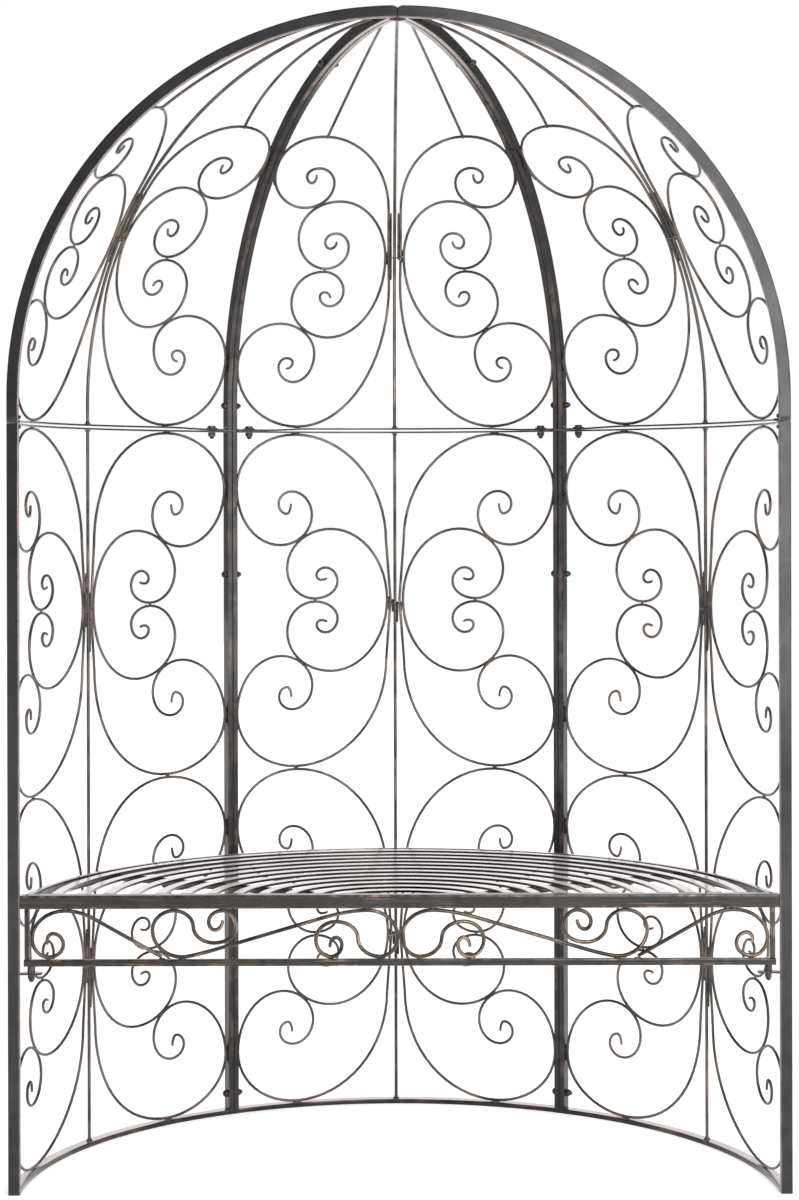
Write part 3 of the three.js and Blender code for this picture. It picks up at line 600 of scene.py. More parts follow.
# Scrolls: quarter ellipses from one turning point to the next, as shares of the bay
rods = {
    "centre": 0.006,
    "scroll": 0.005,
    "fineness": 38,  # steps of a quarter by the root of its reach
    "rail": (0.020, 0.0044, 0.0048),  # welds along a rail, along a post, and between two heads
    "post": (0.034, 0.0036, 0.0048),
    "spot": (0.010, 0.0088, 0.0062),
    "flare": [(0.0, 0.0060), (0.0008, 0.0054), (0.0020, 0.0043), (0.0034, 0.0035), (0.0050, 0.0030)],
    "overlap": (0.35, 0.0052, 0.0042),  # weld between two scrolls: sunk by a share of the rod, width, height
    "nudge": 0.002,  # a small way on, to find a direction
}
unitHeight = (topRailUnderside - bottomRailTop) / 2
unitReach = unitHeight / 2 - fit - rods["scroll"] / 2
quarterArc = rodRadius * math.pi / 2


def scrollPlaces(turns, startsUpright):
    places = [turns[0]]
    for index, (start, end) in enumerate(zip(turns, turns[1:])):
        upright = (index % 2 == 0) == startsUpright
        sideRun, riseRun = end[0] - start[0], end[1] - start[1]
        reach = (abs(sideRun) + abs(riseRun)) / 2
        steps = max(5, min(18, round(rods["fineness"] * math.sqrt(reach))))
        for share in evenly(steps)[1:]:
            angle = share * math.pi / 2
            sooner, later = math.sin(angle), 1 - math.cos(angle)
            places.append((
                start[0] + sideRun * (later if upright else sooner),
                start[1] + riseRun * (sooner if upright else later),
            ))
    return places


def sideLimit(bay, rise, size):
    radius = rodRadius * math.cos(max(rise, 0) / rodRadius)
    return radius * (bay["span"] / 2 - math.asin((halfSeam + barWidth + fit + size / 2) / radius))


def turnsOf(bay, shares, reach, scale):
    return [(side * bay["span"] / 2 * rodRadius * scale, rise * reach) for side, rise in shares]


def scrollPair(bay, table, reach, limitRise):
    # The outer and the inner scroll of a quarter, widened until the outer one touches its post or rib
    free = scrollPlaces(turnsOf(bay, table["outer"], reach, 1), True)
    scale = min(sideLimit(bay, limitRise(rise), rods["scroll"]) / abs(side) for side, rise in free)
    outer = turnsOf(bay, table["outer"], reach, scale)
    inner = turnsOf(bay, table["inner"], reach, scale)
    rise = table["collarRise"]
    return {
        "head": outer[1],
        "flank": outer[2],
        "outer": [(-table["outerStart"], rise), *scrollPlaces(outer, True)],
        "inner": scrollPlaces([(-table["innerStart"], rise), *inner], True),
        "outerCurl": scrollPlaces(outer[1:], False),
        "innerCurl": scrollPlaces(inner, False),
    }


def layRod(bm, spot, places, size, thinEnds=(True, True), rub=0.5):
    roundRod(bm, [spot(side, rise) for side, rise in spacedOut(places)], size / 2, thinEnds=thinEnds, rub=rub)


def layWeld(bm, spot, first, second):
    # Where two scrolls come nearest to each other
    gap, one, other = min(((math.dist(a, b), a, b) for a in first for b in second), key=lambda found: found[0])
    start, normal = spot(*one)
    end, _ = spot(*other)
    sunk, width, height = rods["overlap"]
    bead(bm, (start + end) / 2, end - start, normal, gap - rods["scroll"] * sunk, width, height, rub=0.5)


def layUnit(bm, spot, upper, lower):
    for flip in (lambda places: places, mirrored):
        for kind in ("outer", "inner"):
            layRod(bm, spot, [*reversed(flip(upper[kind])[1:]), *flip(lower[kind])], rods["scroll"])
        for pair in (upper, lower):
            layWeld(bm, spot, flip(pair["outerCurl"]), flip(pair["innerCurl"]))
        layWeld(bm, spot, flip(upper["innerCurl"]), flip(lower["innerCurl"]))


def layStrip(bm, spot, side, rise, kind):
    # Dark strip of weld along a rail, along a post, or a spot between two scrolls' heads
    point, normal = spot(side, rise)
    ahead = (side + rods["nudge"], rise) if kind == "rail" else (side, rise + rods["nudge"])
    bead(bm, point, spot(*ahead)[0] - point, normal, *rods[kind], rub=0.1)


def weldToPost(bm, spot, flank):
    for side in (flank[0] - rods["scroll"] / 2, -flank[0] + rods["scroll"] / 2):
        layStrip(bm, spot, side, flank[1], "post")


def flareToRail(bm, spot, rise, way):
    # Weld metal that widens a centre rod where it stands on a rail or meets it from below
    turned(bm, spot(0, rise)[0], upward * way, rods["flare"], sides=14, rub=0.1)


wallScrolls = {
    "outerStart": 0.0082,
    "innerStart": 0.0148,
    "collarRise": 0.0,
    "outer": [
        (-0.052, 0.357), (-0.59, 1), (-0.955, 0.676), (-0.681, 0.334), (-0.491, 0.514),
        (-0.612, 0.657), (-0.693, 0.581), (-0.643, 0.522), (-0.618, 0.583),
    ],
    "inner": [
        (-0.379, 0.43), (-0.642, 0.19), (-0.474, (rods["scroll"] / 2 + fit) / unitReach), (-0.339, 0.111),
        (-0.411, 0.196), (-0.464, 0.15), (-0.436, 0.122), (-0.404, 0.134),
    ],
}


def buildWallGrille(bay):
    upper = scrollPair(bay, wallScrolls, unitReach, lambda rise: 0)
    lower = {key: overturned(upper[key]) for key in ("outer", "inner", "outerCurl", "innerCurl")}
    bm = startMesh()
    ends = [(0, bottomRailTop + fit), (0, topRailUnderside - fit)]
    layRod(bm, partial(wallSpot, bay), ends, rods["centre"], (False, False), 0.35)
    for (_, rise), way in zip(ends, (1, -1)):
        flareToRail(bm, partial(wallSpot, bay), rise, way)
    headSide = upper["head"][0]
    for unit, railSide in enumerate((-1, 1)):
        spot = partial(wallSpot, bay, middle=bottomRailTop + (unit + 0.5) * unitHeight)
        layUnit(bm, spot, upper, lower)
        for side in (headSide, -headSide):
            layStrip(bm, spot, side, railSide * (unitHeight / 2 - 0.0010), "rail")
            if unit == 0:
                layStrip(bm, spot, side, unitHeight / 2, "spot")
        for level in (1, -1):
            weldToPost(bm, spot, (upper["flank"][0], upper["flank"][1] * level))
    finishPiece(bay["name"] + "WallScrolls", bm, "scrollIron", [bay["name"] + "_wall_grille"])


# Filler rods and the weld line where the scrolls are bound to the centre rod
wallCollar = {
    "fillers": [
        # side, top, bottom, width
        (-0.0116, 0.006, -0.0185, 0.0032), (0.0116, -0.0045, -0.0228, 0.0032),
        (-0.0045, 0.001, -0.0228, 0.0042), (0.0045, -0.0045, -0.042, 0.0042),
    ],
    "sideFillers": [
        (-0.0116, 0.016, -0.018, 0.0036), (0.0116, 0.012, -0.024, 0.0036),
        (-0.0052, 0.060, -0.034, 0.0046), (0.0052, 0.026, -0.078, 0.0046),
    ],
    "line": [(-0.0125, -0.0062), (-0.006, -0.0054), (0.0, -0.0040), (0.0065, -0.0032), (0.0105, -0.0038)],
}
domeCollar = {
    "rise": 0.285,
    "fillers": [
        (-0.0068, 0.087, -0.045, 0.0042), (0.0068, 0.087, -0.006, 0.0042),
        (-0.0140, 0.009, -0.015, 0.0032), (0.0140, 0.013, -0.011, 0.0032),
    ],
    "line": [(-0.0155, 0.0012), (-0.008, -0.0004), (0.0, -0.0016), (0.008, 0.0004), (0.0150, 0.0008)],
}
weldLine = {"forward": 0.0030, "radius": 0.0012, "beadForward": 0.0028, "bead": (0.0044, 0.0030, 0.0026)}


def buildCollar(bay, name, spot, look):
    bm = startMesh()
    fillers = look["fillers"] if bay["name"] == "rear" else look.get("sideFillers", look["fillers"])
    for side, top, bottom, width in fillers:
        runs = [spot(*place) for place in spacedOut([(side, bottom), (side, top)], 0.006)]
        roundRod(bm, runs, width / 2, sides=8, thinEnds=(True, True), wobble=0.2, rub=0.04)
    line = [spot(*place) for place in spacedOut(look["line"], 0.002)]
    line = [(point - normal * weldLine["forward"], normal) for point, normal in line]
    roundRod(bm, line, weldLine["radius"], sides=8, wobble=0.5, rub=0.9)
    for side, rise in look["line"]:
        point, normal = spot(side, rise)
        across = spot(side + rods["nudge"], rise)[0] - point
        point -= normal * weldLine["beadForward"]
        bead(bm, point, across, normal, *weldLine["bead"], rub=1.1, rough=0.4)
    finishPiece(name, bm, "weldIron")


for bay in bays:
    buildWallGrille(bay)
    for unit in range(2):
        spot = partial(wallSpot, bay, middle=bottomRailTop + (unit + 0.5) * unitHeight)
        buildCollar(bay, f"{bay['name']}WallCollar{unit + 1}", spot, wallCollar)
print("wall scrolls laid")


domeFootTouch = (footRailTop + fit + rods["scroll"] / 2 - domeCentre) / quarterArc
domeStarts = {"outerStart": 0.011, "innerStart": 0.0168, "collarRise": domeCollar["rise"]}
domeUpperScrolls = {
    **domeStarts,
    "outer": [
        (-0.035, 0.382), (-0.386, 0.541), (-0.706, 0.439), (-0.536, 0.382), (-0.349, 0.438),
        (-0.43, 0.468), (-0.511, 0.448), (-0.483, 0.435), (-0.453, 0.453),
    ],
    "inner": [
        (-0.308, 0.3975), (-0.566, 0.317), (-0.41, 0.26), (-0.268, 0.304),
        (-0.339, 0.331), (-0.407, 0.312), (-0.379, 0.3), (-0.339, 0.314),
    ],
}
domeLowerScrolls = {
    **domeStarts,
    "outer": [
        (-0.032, 0.229), (-0.576, domeFootTouch), (-0.942, 0.065), (-0.669, 0.152), (-0.471, 0.097),
        (-0.601, 0.042), (-0.687, 0.069), (-0.635, 0.087), (-0.601, 0.079), (-0.641, 0.067),
    ],
    "inner": [
        (-0.394, 0.127), (-0.606, 0.19), (-0.409, 0.254), (-0.296, 0.218),
        (-0.38, 0.187), (-0.436, 0.204), (-0.407, 0.214), (-0.374, 0.203),
    ],
}
slenderRods = {"bend": (-0.16, 0.745), "end": 0.933, "steps": 28, "rub": 0.6, "weld": (0.0085, 0.0062, 0.0058)}


def lifted(table, lift):
    # A gore's scrolls stand higher by its lift, all but the turning point on the foot rail
    out = {**table, "collarRise": (table["collarRise"] + lift) * quarterArc}
    for kind in ("outer", "inner"):
        out[kind] = [(side, rise + lift if rise > domeFootTouch else rise) for side, rise in table[kind]]
    return out


def slenderPlaces(bay, head):
    endRise = slenderRods["end"] * quarterArc
    sideShare, riseShare = slenderRods["bend"]
    bend = Vector((sideShare * bay["span"] / 2 * rodRadius, riseShare * quarterArc))
    start, end = Vector(head), Vector((-sideLimit(bay, endRise, rods["scroll"]), endRise))
    shares = evenly(slenderRods["steps"])
    return [tuple(start * (1 - t) ** 2 + bend * 2 * t * (1 - t) + end * t * t) for t in shares]


def buildDomeGrille(bay):
    spot = partial(domeSpot, bay)
    upper, lower = (
        scrollPair(bay, lifted(table, bay["lift"]), quarterArc, lambda rise: rise)
        for table in (domeUpperScrolls, domeLowerScrolls)
    )
    apart = (halfSeam + barWidth + fit + rods["centre"] / 2) / math.sin(bay["span"] / 2)
    tip = rodRadius * math.acos(apart / rodRadius)  # the centre rod ends where the ribs close in
    foot = footRailTop - domeCentre
    bm = startMesh()
    layRod(bm, spot, [(0, foot + fit), (0, 0), (0, tip)], rods["centre"], (False, False), slenderRods["rub"])
    layUnit(bm, spot, upper, lower)
    for pair in (upper, lower):
        weldToPost(bm, spot, pair["flank"])
    flareToRail(bm, spot, foot + fit, 1)
    for side in (lower["head"][0], -lower["head"][0]):
        layStrip(bm, spot, side, foot + 0.0016, "rail")
    slender = slenderPlaces(bay, upper["head"])
    for places in (slender, mirrored(slender)):
        layRod(bm, spot, places, rods["scroll"], (False, False), slenderRods["rub"])
    for places in (slender, mirrored(slender)):
        for side, rise in (places[0], places[-1]):
            point, normal = spot(side, rise)
            bead(bm, point, upward, normal, *slenderRods["weld"], rub=0.6)
    finishPiece(bay["name"] + "DomeScrolls", bm, "scrollIron", [bay["name"] + "_dome_grille"])
    middle = (domeCollar["rise"] + bay["lift"]) * quarterArc
    buildCollar(bay, bay["name"] + "DomeCollar", lambda side, rise: spot(side, rise + middle), domeCollar)


for bay in bays:
    buildDomeGrille(bay)
print("dome scrolls laid")


# Posts, ribs and rails of the panels and gores
frameBars = {
    "corner": 0.0017, "pairCorner": 0.0009, "railCorner": 0.0007, "bottomCorner": 0.0012, "pairFade": 0.0007,
    # The underside and top rub values below raise faces into the painted highlight colour: ribs' undersides and
    # bottom rails' tops
    "innerRub": 1.8, "pairRub": 0.9, "outerRub": 0.35, "faceRub": 0.6, "bareRub": 2.3, "topHighlightRub": 2.4,
    "undersideHighlight": (0.48, 0.42),  # painted highlight on the undersides towards the apex: where it begins and over what share
    "notch": 0.0036,  # chamfer of the ribs' tips
    "clampSeam": 0.0004,  # left between the rails where the ring bolts pull the foot rails down
    "clampReach": {"left": (0.02, 0.13), "rear": (0.06, 0.15), "right": (0.02, 0.13)},
    "frontClamp": 0.5,  # the pull at the front posts, as a share
    "railWeld": (0.0095, 0.0052, 0.0054),
    "railWeldIn": 0.0016,
    "stileSteps": 60, "ribSteps": 96, "footSteps": 3, "railSteps": 64,
}
clampDrop = footRailLow - wallHeight - frameBars["clampSeam"]
ribFoot = wallHeight + frameBars["clampSeam"]  # the ribs stand on the stiles


def clampAt(bay, fromEnd, gap):
    near, far = frameBars["clampReach"][bay["name"]]
    return clampDrop * (1.0 if gap else frameBars["frontClamp"]) * eased((far - fromEnd) / (far - near))


def edgeOf(bay, side):
    # A bay's edge: its name, its turn, how far its bars lie beside it, and their look. The paired bars
    # at the back are crisper than the front posts, and dark along their seam.
    name = "left" if side > 0 else "right"
    gap = bay[name + "Gap"]
    look = {"corner": frameBars["corner"], "rub": frameBars["innerRub"], "outerRub": frameBars["outerRub"]}
    if gap:
        look.update(
            corner=frameBars["pairCorner"], rub=frameBars["pairRub"], fade=frameBars["pairFade"], seamSide=side,
        )
    turn = Matrix.Rotation(bay["centre"] + side * bay["span"] / 2, 3, "Z")
    return name, turn, -side * (gap + barWidth / 2), look, "ribIron" if gap else "postIron"


def buildStile(bay, side):
    name, turn, offset, look, paint = edgeOf(bay, side)
    levels = (wallHeight * share for share in evenly(frameBars["stileSteps"]))
    spots = [(turn @ Vector((rodRadius, offset, level)) + axis, turn @ rightward) for level in levels]
    bm = startMesh()
    flatBar(bm, spots, barWidth, barDepth, faceRub=[frameBars["faceRub"]] * len(spots), **look)
    node = f"{bay['name']}_wall_{name}_stile"
    finishPiece(f"{bay['name']}{name.title()}Stile", bm, paint, [node])


def cutAway(bm, point, facing):
    # Removes what lies beyond a plane and closes the cut
    cut = bmesh.ops.bisect_plane(
        bm, geom=[*bm.verts, *bm.edges, *bm.faces], plane_co=point, plane_no=facing, clear_outer=True,
    )
    rim = [item for item in cut["geom_cut"] if isinstance(item, bmesh.types.BMEdge)]
    bmesh.ops.holes_fill(bm, edges=rim, sides=0)


def buildRib(bay, side):
    name, turn, offset, look, paint = edgeOf(bay, side)
    levels = (ribFoot + (domeCentre - ribFoot) * share for share in evenly(frameBars["footSteps"])[:-1])
    spots = [(turn @ Vector((rodRadius, offset, level)) + axis, turn @ rightward) for level in levels]
    faceRub = [frameBars["faceRub"]] * len(spots)
    begin, over = frameBars["undersideHighlight"]
    for share in evenly(frameBars["ribSteps"]):
        rise = share * math.pi / 2
        out = Vector((math.cos(rise), 0, math.sin(rise)))
        spots.append((turn @ (out * rodRadius + Vector((0, offset, domeCentre))) + axis, turn @ out))
        # Painted highlight: the inner face turns pale towards the apex, standing in for light from the floor
        faceRub.append(frameBars["faceRub"] + frameBars["bareRub"] * eased((share - begin) / over))
    bm = startMesh()
    flatBar(bm, spots, barWidth, barDepth, faceRub=faceRub, **look)
    facing = bay["turn"] @ Vector((side, 0, 0))  # the gore's other half lies that way
    edge = axis - facing * halfSeam
    cutAway(bm, edge, facing)
    cutAway(bm, edge + upward * (domeCentre + outerRadius - frameBars["notch"]), (facing + upward).normalized())
    node = f"{bay['name']}_dome_{name}_rib"
    finishPiece(f"{bay['name']}{name.title()}Rib", bm, paint, [node])


def buildRail(bay, label, node, low, high, corner, clamped=False, paint="postIron"):
    start = -bay["span"] / 2 + math.asin((bay["leftGap"] + barWidth + fit) / rodRadius)
    end = bay["span"] / 2 - math.asin((bay["rightGap"] + barWidth + fit) / rodRadius)
    ends = ((start, 1, bay["leftGap"]), (end, -1, bay["rightGap"]))
    spots = []
    for share in evenly(frameBars["railSteps"]):
        angle = start + (end - start) * share
        dip = sum(clampAt(bay, abs(angle - place) * rodRadius, gap) for place, _, gap in ends) if clamped else 0
        spots.append(wallSpot(bay, angle * rodRadius, (low + high) / 2 - dip))
    bm = startMesh()
    # Bottom rails' tops get the painted highlight colour
    flatBar(bm, spots, high - low, barDepth, corner, topHighlightRub=frameBars["topHighlightRub"] if paint == "hoopIron" else 0.0)
    length, width, height = frameBars["railWeld"]
    height = min((high - low) * 0.9, height)
    for angle, side, gap in ends:
        level = high - height / 2 - (clampAt(bay, 0, gap) if clamped else 0)
        normal = bay["turn"] @ Vector((math.sin(angle), math.cos(angle), 0))
        beside = normal.cross(upward) * side * frameBars["railWeldIn"]
        for depth in (0.25, 0.75):
            point = normal * (innerRadius + barDepth * depth) + upward * level + axis + beside
            bead(bm, point, normal, upward, length, width, height, rub=0.4)
    finishPiece(bay["name"] + label, bm, paint, [node])


for bay in bays:
    for side in (1, -1):
        buildStile(bay, side)
        buildRib(bay, side)
    wall, dome = bay["name"] + "_wall_", bay["name"] + "_dome_"
    thick, thin = frameBars["bottomCorner"], frameBars["railCorner"]
    buildRail(bay, "BottomRail", wall + "bottom_rail", 0.0, bottomRailTop, thick, paint="hoopIron")
    buildRail(bay, "TopRail", wall + "top_rail", topRailUnderside, wallHeight, thin)
    buildRail(bay, "FootRail", dome + "foot_rail", footRailLow, footRailTop, thin, True)


apexWeld = {
    "seamPlace": (0.0046, 0.001),  # in from the front, and below the middle of the bars
    "seamSize": (0.0034, 0.005),
    "seamShorter": 0.003,
    "lumpIn": 0.016,
    "lumpSize": (0.034, 0.020, 0.0085),
}


def buildApexWeld():
    # Weld metal in the seam of the front ribs' tips, and the lump that holds all tips from below
    bm = startMesh()
    crown = domeCentre + outerRadius
    inside, below = apexWeld["seamPlace"]
    seamAt = Vector((0, frontY + inside, crown - barDepth / 2 - below))
    bead(bm, seamAt, upward, toView, barDepth - apexWeld["seamShorter"], *apexWeld["seamSize"], rub=0.0)
    lumpAt = Vector((0, frontY + apexWeld["lumpIn"], crown - barDepth))
    bead(bm, lumpAt, rightward, upward, *apexWeld["lumpSize"], rub=0.2)
    finishPiece("apexWeld", bm, "boltIron")


buildApexWeld()
print("posts, ribs and rails made")


# Bolts through the two ring rails, beside the rear posts. Profiles are levels as turned takes them.
ringBolt = {
    "head": [
        (0.0, 0.010476), (0.0006, 0.0108), (0.0016, 0.010584),
        (0.0025, 0.007392, 0.0066), (0.0049, 0.007392, 0.0066), (0.0057, 0.006072, 0.00594),
    ],
    "washer": [
        (share * frameBars["clampSeam"], radius)
        for share, radius in ((0, 0.0066), (0.25, 0.0069), (0.75, 0.0069), (1, 0.0066))
    ],
    "nut": [
        (0.0, 0.006745), (0.0006, 0.0071), (0.0016, 0.0071), (0.0022, 0.006944, 0.0062),
        (0.0062, 0.006944, 0.0062), (0.0070, 0.0050), (0.0092, 0.0044), (0.0108, 0.0032),
        (0.0118, 0.0013),
    ],
}


def middleOf(node):
    low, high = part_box(node)
    return Vector(((low.x + high.x) / 2, (low.y + high.y) / 2, 0))


def buildRingBolt(name, node):
    centre = middleOf(node)
    bm = startMesh()
    turned(bm, centre + upward * (footRailTop - clampDrop), upward, ringBolt["head"])
    turned(bm, centre + upward * wallHeight, upward, ringBolt["washer"], rub=0.2)
    turned(bm, centre + upward * (topRailUnderside - fit), -upward, ringBolt["nut"])
    finishPiece(name, bm, "boltIron", [node])


for name, node in (
    ("leftRingBolt", "left_ring_bolt_right"), ("rearRingBoltLeft", "rear_ring_bolt_left"),
    ("rearRingBoltRight", "rear_ring_bolt_right"), ("rightRingBolt", "right_ring_bolt_left"),
):
    buildRingBolt(name, node)


# Button head bolts that clamp stile to stile and rib to rib, with domed nuts on the other side
pairBolts = {
    "levels": (0.037, 0.987, 1.296),  # the first two on the stiles, the third on the ribs' feet
    "ribTurn": math.radians(67.2),  # the fourth, up the rib's arc
    "head": [
        (-0.0004, 0.00621), (0.0004, 0.0069), (0.0020, 0.0069), (0.0044, 0.006072),
        (0.00656, 0.004554), (0.0080, 0.002346),
    ],
    "nut": [
        (-0.0004, 0.00705), (0.0003, 0.0075), (0.0012, 0.007275), (0.0016, 0.00616, 0.0055),
        (0.00552, 0.00605, 0.0055), (0.00667, 0.00495), (0.00989, 0.00363), (0.0115, 0.00143),
    ],
}


def buildPairBolt(name, point, across):
    # Across points from the head's side to the nut's side
    bm = startMesh()
    for way, kind in ((-across, "head"), (across, "nut")):
        turned(bm, point + way * (barWidth + halfSeam), way, pairBolts[kind], rub=0.5)
    finishPiece(name, bm, "boltIron")


for label, bearing in (("Left", math.pi / 2 + rearSpan / 2), ("Right", math.pi / 2 - rearSpan / 2)):
    outward = Vector((math.cos(bearing), math.sin(bearing), 0))
    places = [outward * rodRadius + upward * level for level in pairBolts["levels"]]
    turnUp = pairBolts["ribTurn"]
    places.append(outward * math.cos(turnUp) * rodRadius + upward * (domeCentre + math.sin(turnUp) * rodRadius))
    for number, place in enumerate(places, 1):
        buildPairBolt(f"pairBolt{label}{number}", axis + place, outward.cross(upward))


# Lumps of weld and small nuts on the ring, at the inner side of the front posts; -1 is the left post
frontRing = {
    "boss": (0.008, 0.0075),
    "bossLength": {-1: 0.0125, 1: 0.028},
    "bossPlace": (0.0027, 0.55),  # out from the post, and the share of its width behind its face
    "nutLevels": {-1: (0.0072, -0.0085), 1: (0.0066, -0.0112)},
    "nut": [(-0.0004, 0.00323), (0.0008, 0.0034), (0.0022, 0.002924), (0.0034, 0.00153)],
}


def buildFrontRing(name, side):
    bm = startMesh()
    level = (wallHeight + domeFoot) / 2
    outside, behind = frontRing["bossPlace"]
    centre = Vector((side * (innerRadius + outside), frontY + barWidth * behind, level))
    bead(bm, centre, rightward, upward, frontRing["bossLength"][side], *frontRing["boss"], rub=0.3, rough=0.3)
    for nutLevel in frontRing["nutLevels"][side]:
        base = Vector((side * innerRadius, frontY + barWidth / 2, level + nutLevel))
        turned(bm, base, Vector((-side, 0, 0)), frontRing["nut"], sides=16, rub=0.3)
    finishPiece(name, bm, "boltIron")


buildFrontRing("frontRingLeft", -1)
buildFrontRing("frontRingRight", 1)
print("bolts fitted")


# Bench: front rail, rim, bent slats, their supports and the brackets to the rear posts
bench = {
    # The top rub value paints a highlight on the tops of rim and slats
    "railCorner": 0.0022, "rimCorner": 0.0016, "rimSetForward": 0.060, "rimThickness": 0.012, "topHighlightRub": 2.2,
    "railWeld": (0.7, 0.0042, 0.0042),  # the first as a share of the rail
    "railSteps": 60, "bendSteps": 120,
    "slatWidth": 0.018, "slatCorner": 0.0004,
    "slatFade": 0.09,  # share of the width over which the edges' wear ends
    "slatRub": (0.8, 0.1),  # only the upper edges are worn
    "slatSink": (9, 0.0002),  # how fine and how deep a slat is uneven
    "slatShrink": (0.996, 0.985),
    "slatFoot": (0.013, 0.0046, 0.0034),
}
railLow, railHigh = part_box("seat_front_rail")
railBack = railHigh.y


def straightSpots(start, end, steps):
    return [(start.lerp(end, share), toView) for share in evenly(steps)]


def buildFrontRail():
    middle = (railLow + railHigh) / 2
    size = railHigh.z - railLow.z
    bm = startMesh()
    left, right = (Vector((x, middle.y, middle.z)) for x in (railLow.x, railHigh.x))
    flatBar(bm, straightSpots(left, right, bench["railSteps"]), size, size, bench["railCorner"], shrinkage=0.008)
    length, width, height = bench["railWeld"]
    for side in (-1, 1):
        for rise in (-0.4, 0.4):
            point = Vector((side * (railHigh.x - 0.0015), middle.y, middle.z + rise * size))
            bead(bm, point, -toView, upward, size * length, width, height, rub=0.4)
    finishPiece("seatFrontRail", bm, "benchIron", ["seat_front_rail"])


def buildRim():
    low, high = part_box("seat_rim")
    centreY = frontY - bench["rimSetForward"]
    middle = high.y - centreY - bench["rimThickness"] / 2
    start = math.asin((railBack + fit - centreY) / middle)
    spots = []
    for share in evenly(bench["bendSteps"]):
        angle = math.pi - start - (math.pi - 2 * start) * share
        normal = Vector((math.cos(angle), math.sin(angle), 0))
        spots.append((normal * middle + Vector((0, centreY, (low.z + high.z) / 2)), normal))
    bm = startMesh()
    # Rim top with a painted highlight
    flatBar(bm, spots, high.z - low.z, bench["rimThickness"], bench["rimCorner"], topHighlightRub=bench["topHighlightRub"])
    finishPiece("seatRim", bm, "hoopIron", ["seat_rim"])


def ellipseSpot(wide, deep, start, share):
    angle = start + (math.pi - 2 * start) * share
    return Vector((wide * math.cos(angle), deep * math.sin(angle), 0))


def buildSlat(number):
    node = f"seat_slat_{number:02d}"
    low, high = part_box(node)
    width = bench["slatWidth"]
    thickness = (high.z - low.z) / width
    front, reach = railBack + fit - frontY, high.y - frontY
    spreadOut = high.x / math.sqrt(1 - (front / reach) ** 2)
    # The outer and the inner edge are ellipses: half width, depth, and the angle where they begin
    edges = [(spreadOut - inset, reach - inset, math.asin(front / (reach - inset))) for inset in (0, width)]
    section, wear = roundedSection(1, thickness, bench["slatCorner"] / width, fade=bench["slatFade"])
    upperRub, lowerRub = bench["slatRub"]
    wear = [value * (upperRub if v > 0 else lowerRub) for value, (u, v) in zip(wear, section)]
    # Slat tops get the painted highlight colour
    top = thickness / 2 - 0.001
    wear = [bench["topHighlightRub"] if value == 0 and v > top else value for value, (u, v) in zip(wear, section)]
    grainOf, depth = bench["slatSink"]
    narrow, thin = bench["slatShrink"]
    rings = []
    for share in evenly(bench["bendSteps"]):
        outer, inner = (ellipseSpot(*edge, share) for edge in edges)
        middle, across = (outer + inner) / 2, outer - inner
        level = (low.z + high.z) / 2 - depth * unevenness(middle * grainOf, upward * number)
        centre = axis + middle
        rings.append([centre + across * u * narrow + upward * (level + v * width * thin) for u, v in section])
    bm = startMesh()
    skin(bm, rings, wear)
    for side in (1, -1):
        x = side * (spreadOut - width / 2) * math.cos(edges[0][2])
        bead(bm, Vector((x, railBack + 0.0006, low.z + 0.0004)), rightward, upward, *bench["slatFoot"], rub=0.4)
    finishPiece(f"seatSlat{number:02d}", bm, "slatIron", [node])


def copyFlat(name, node, paint, bevel=0.0008):
    # A straight bar keeps the frame's own outline, with its edges eased and worn
    bm = startMesh()
    bm.from_mesh(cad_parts[node].data)
    bmesh.ops.remove_doubles(bm, verts=bm.verts, dist=0.00001)
    bmesh.ops.dissolve_limit(bm, angle_limit=math.radians(2), verts=bm.verts, edges=bm.edges)
    edges = [edge for edge in bm.edges if edge.calc_face_angle(0) > math.radians(30)]
    bmesh.ops.bevel(bm, geom=edges, offset=bevel, segments=2, profile=0.6, affect="EDGES")
    rubLayer = bm.verts.layers.float["rub"]
    grainLayer = bm.verts.layers.float_vector["grain"]
    for vert in bm.verts:
        vert[rubLayer] = 0.55
        vert[grainLayer] = vert.co
    finishPiece(name, bm, paint, [node])


buildFrontRail()
buildRim()
slatCount = sum(1 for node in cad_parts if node.startswith("seat_slat_"))
for number in range(1, slatCount + 1):
    buildSlat(number)
for side in ("left", "right"):
    copyFlat(f"seatSupport{side.title()}", f"seat_support_{side}", "benchIron")
    copyFlat(f"seatBracket{side.title()}", f"seat_bracket_{side}", "benchIron")
print("bench made with", slatCount, "slats")


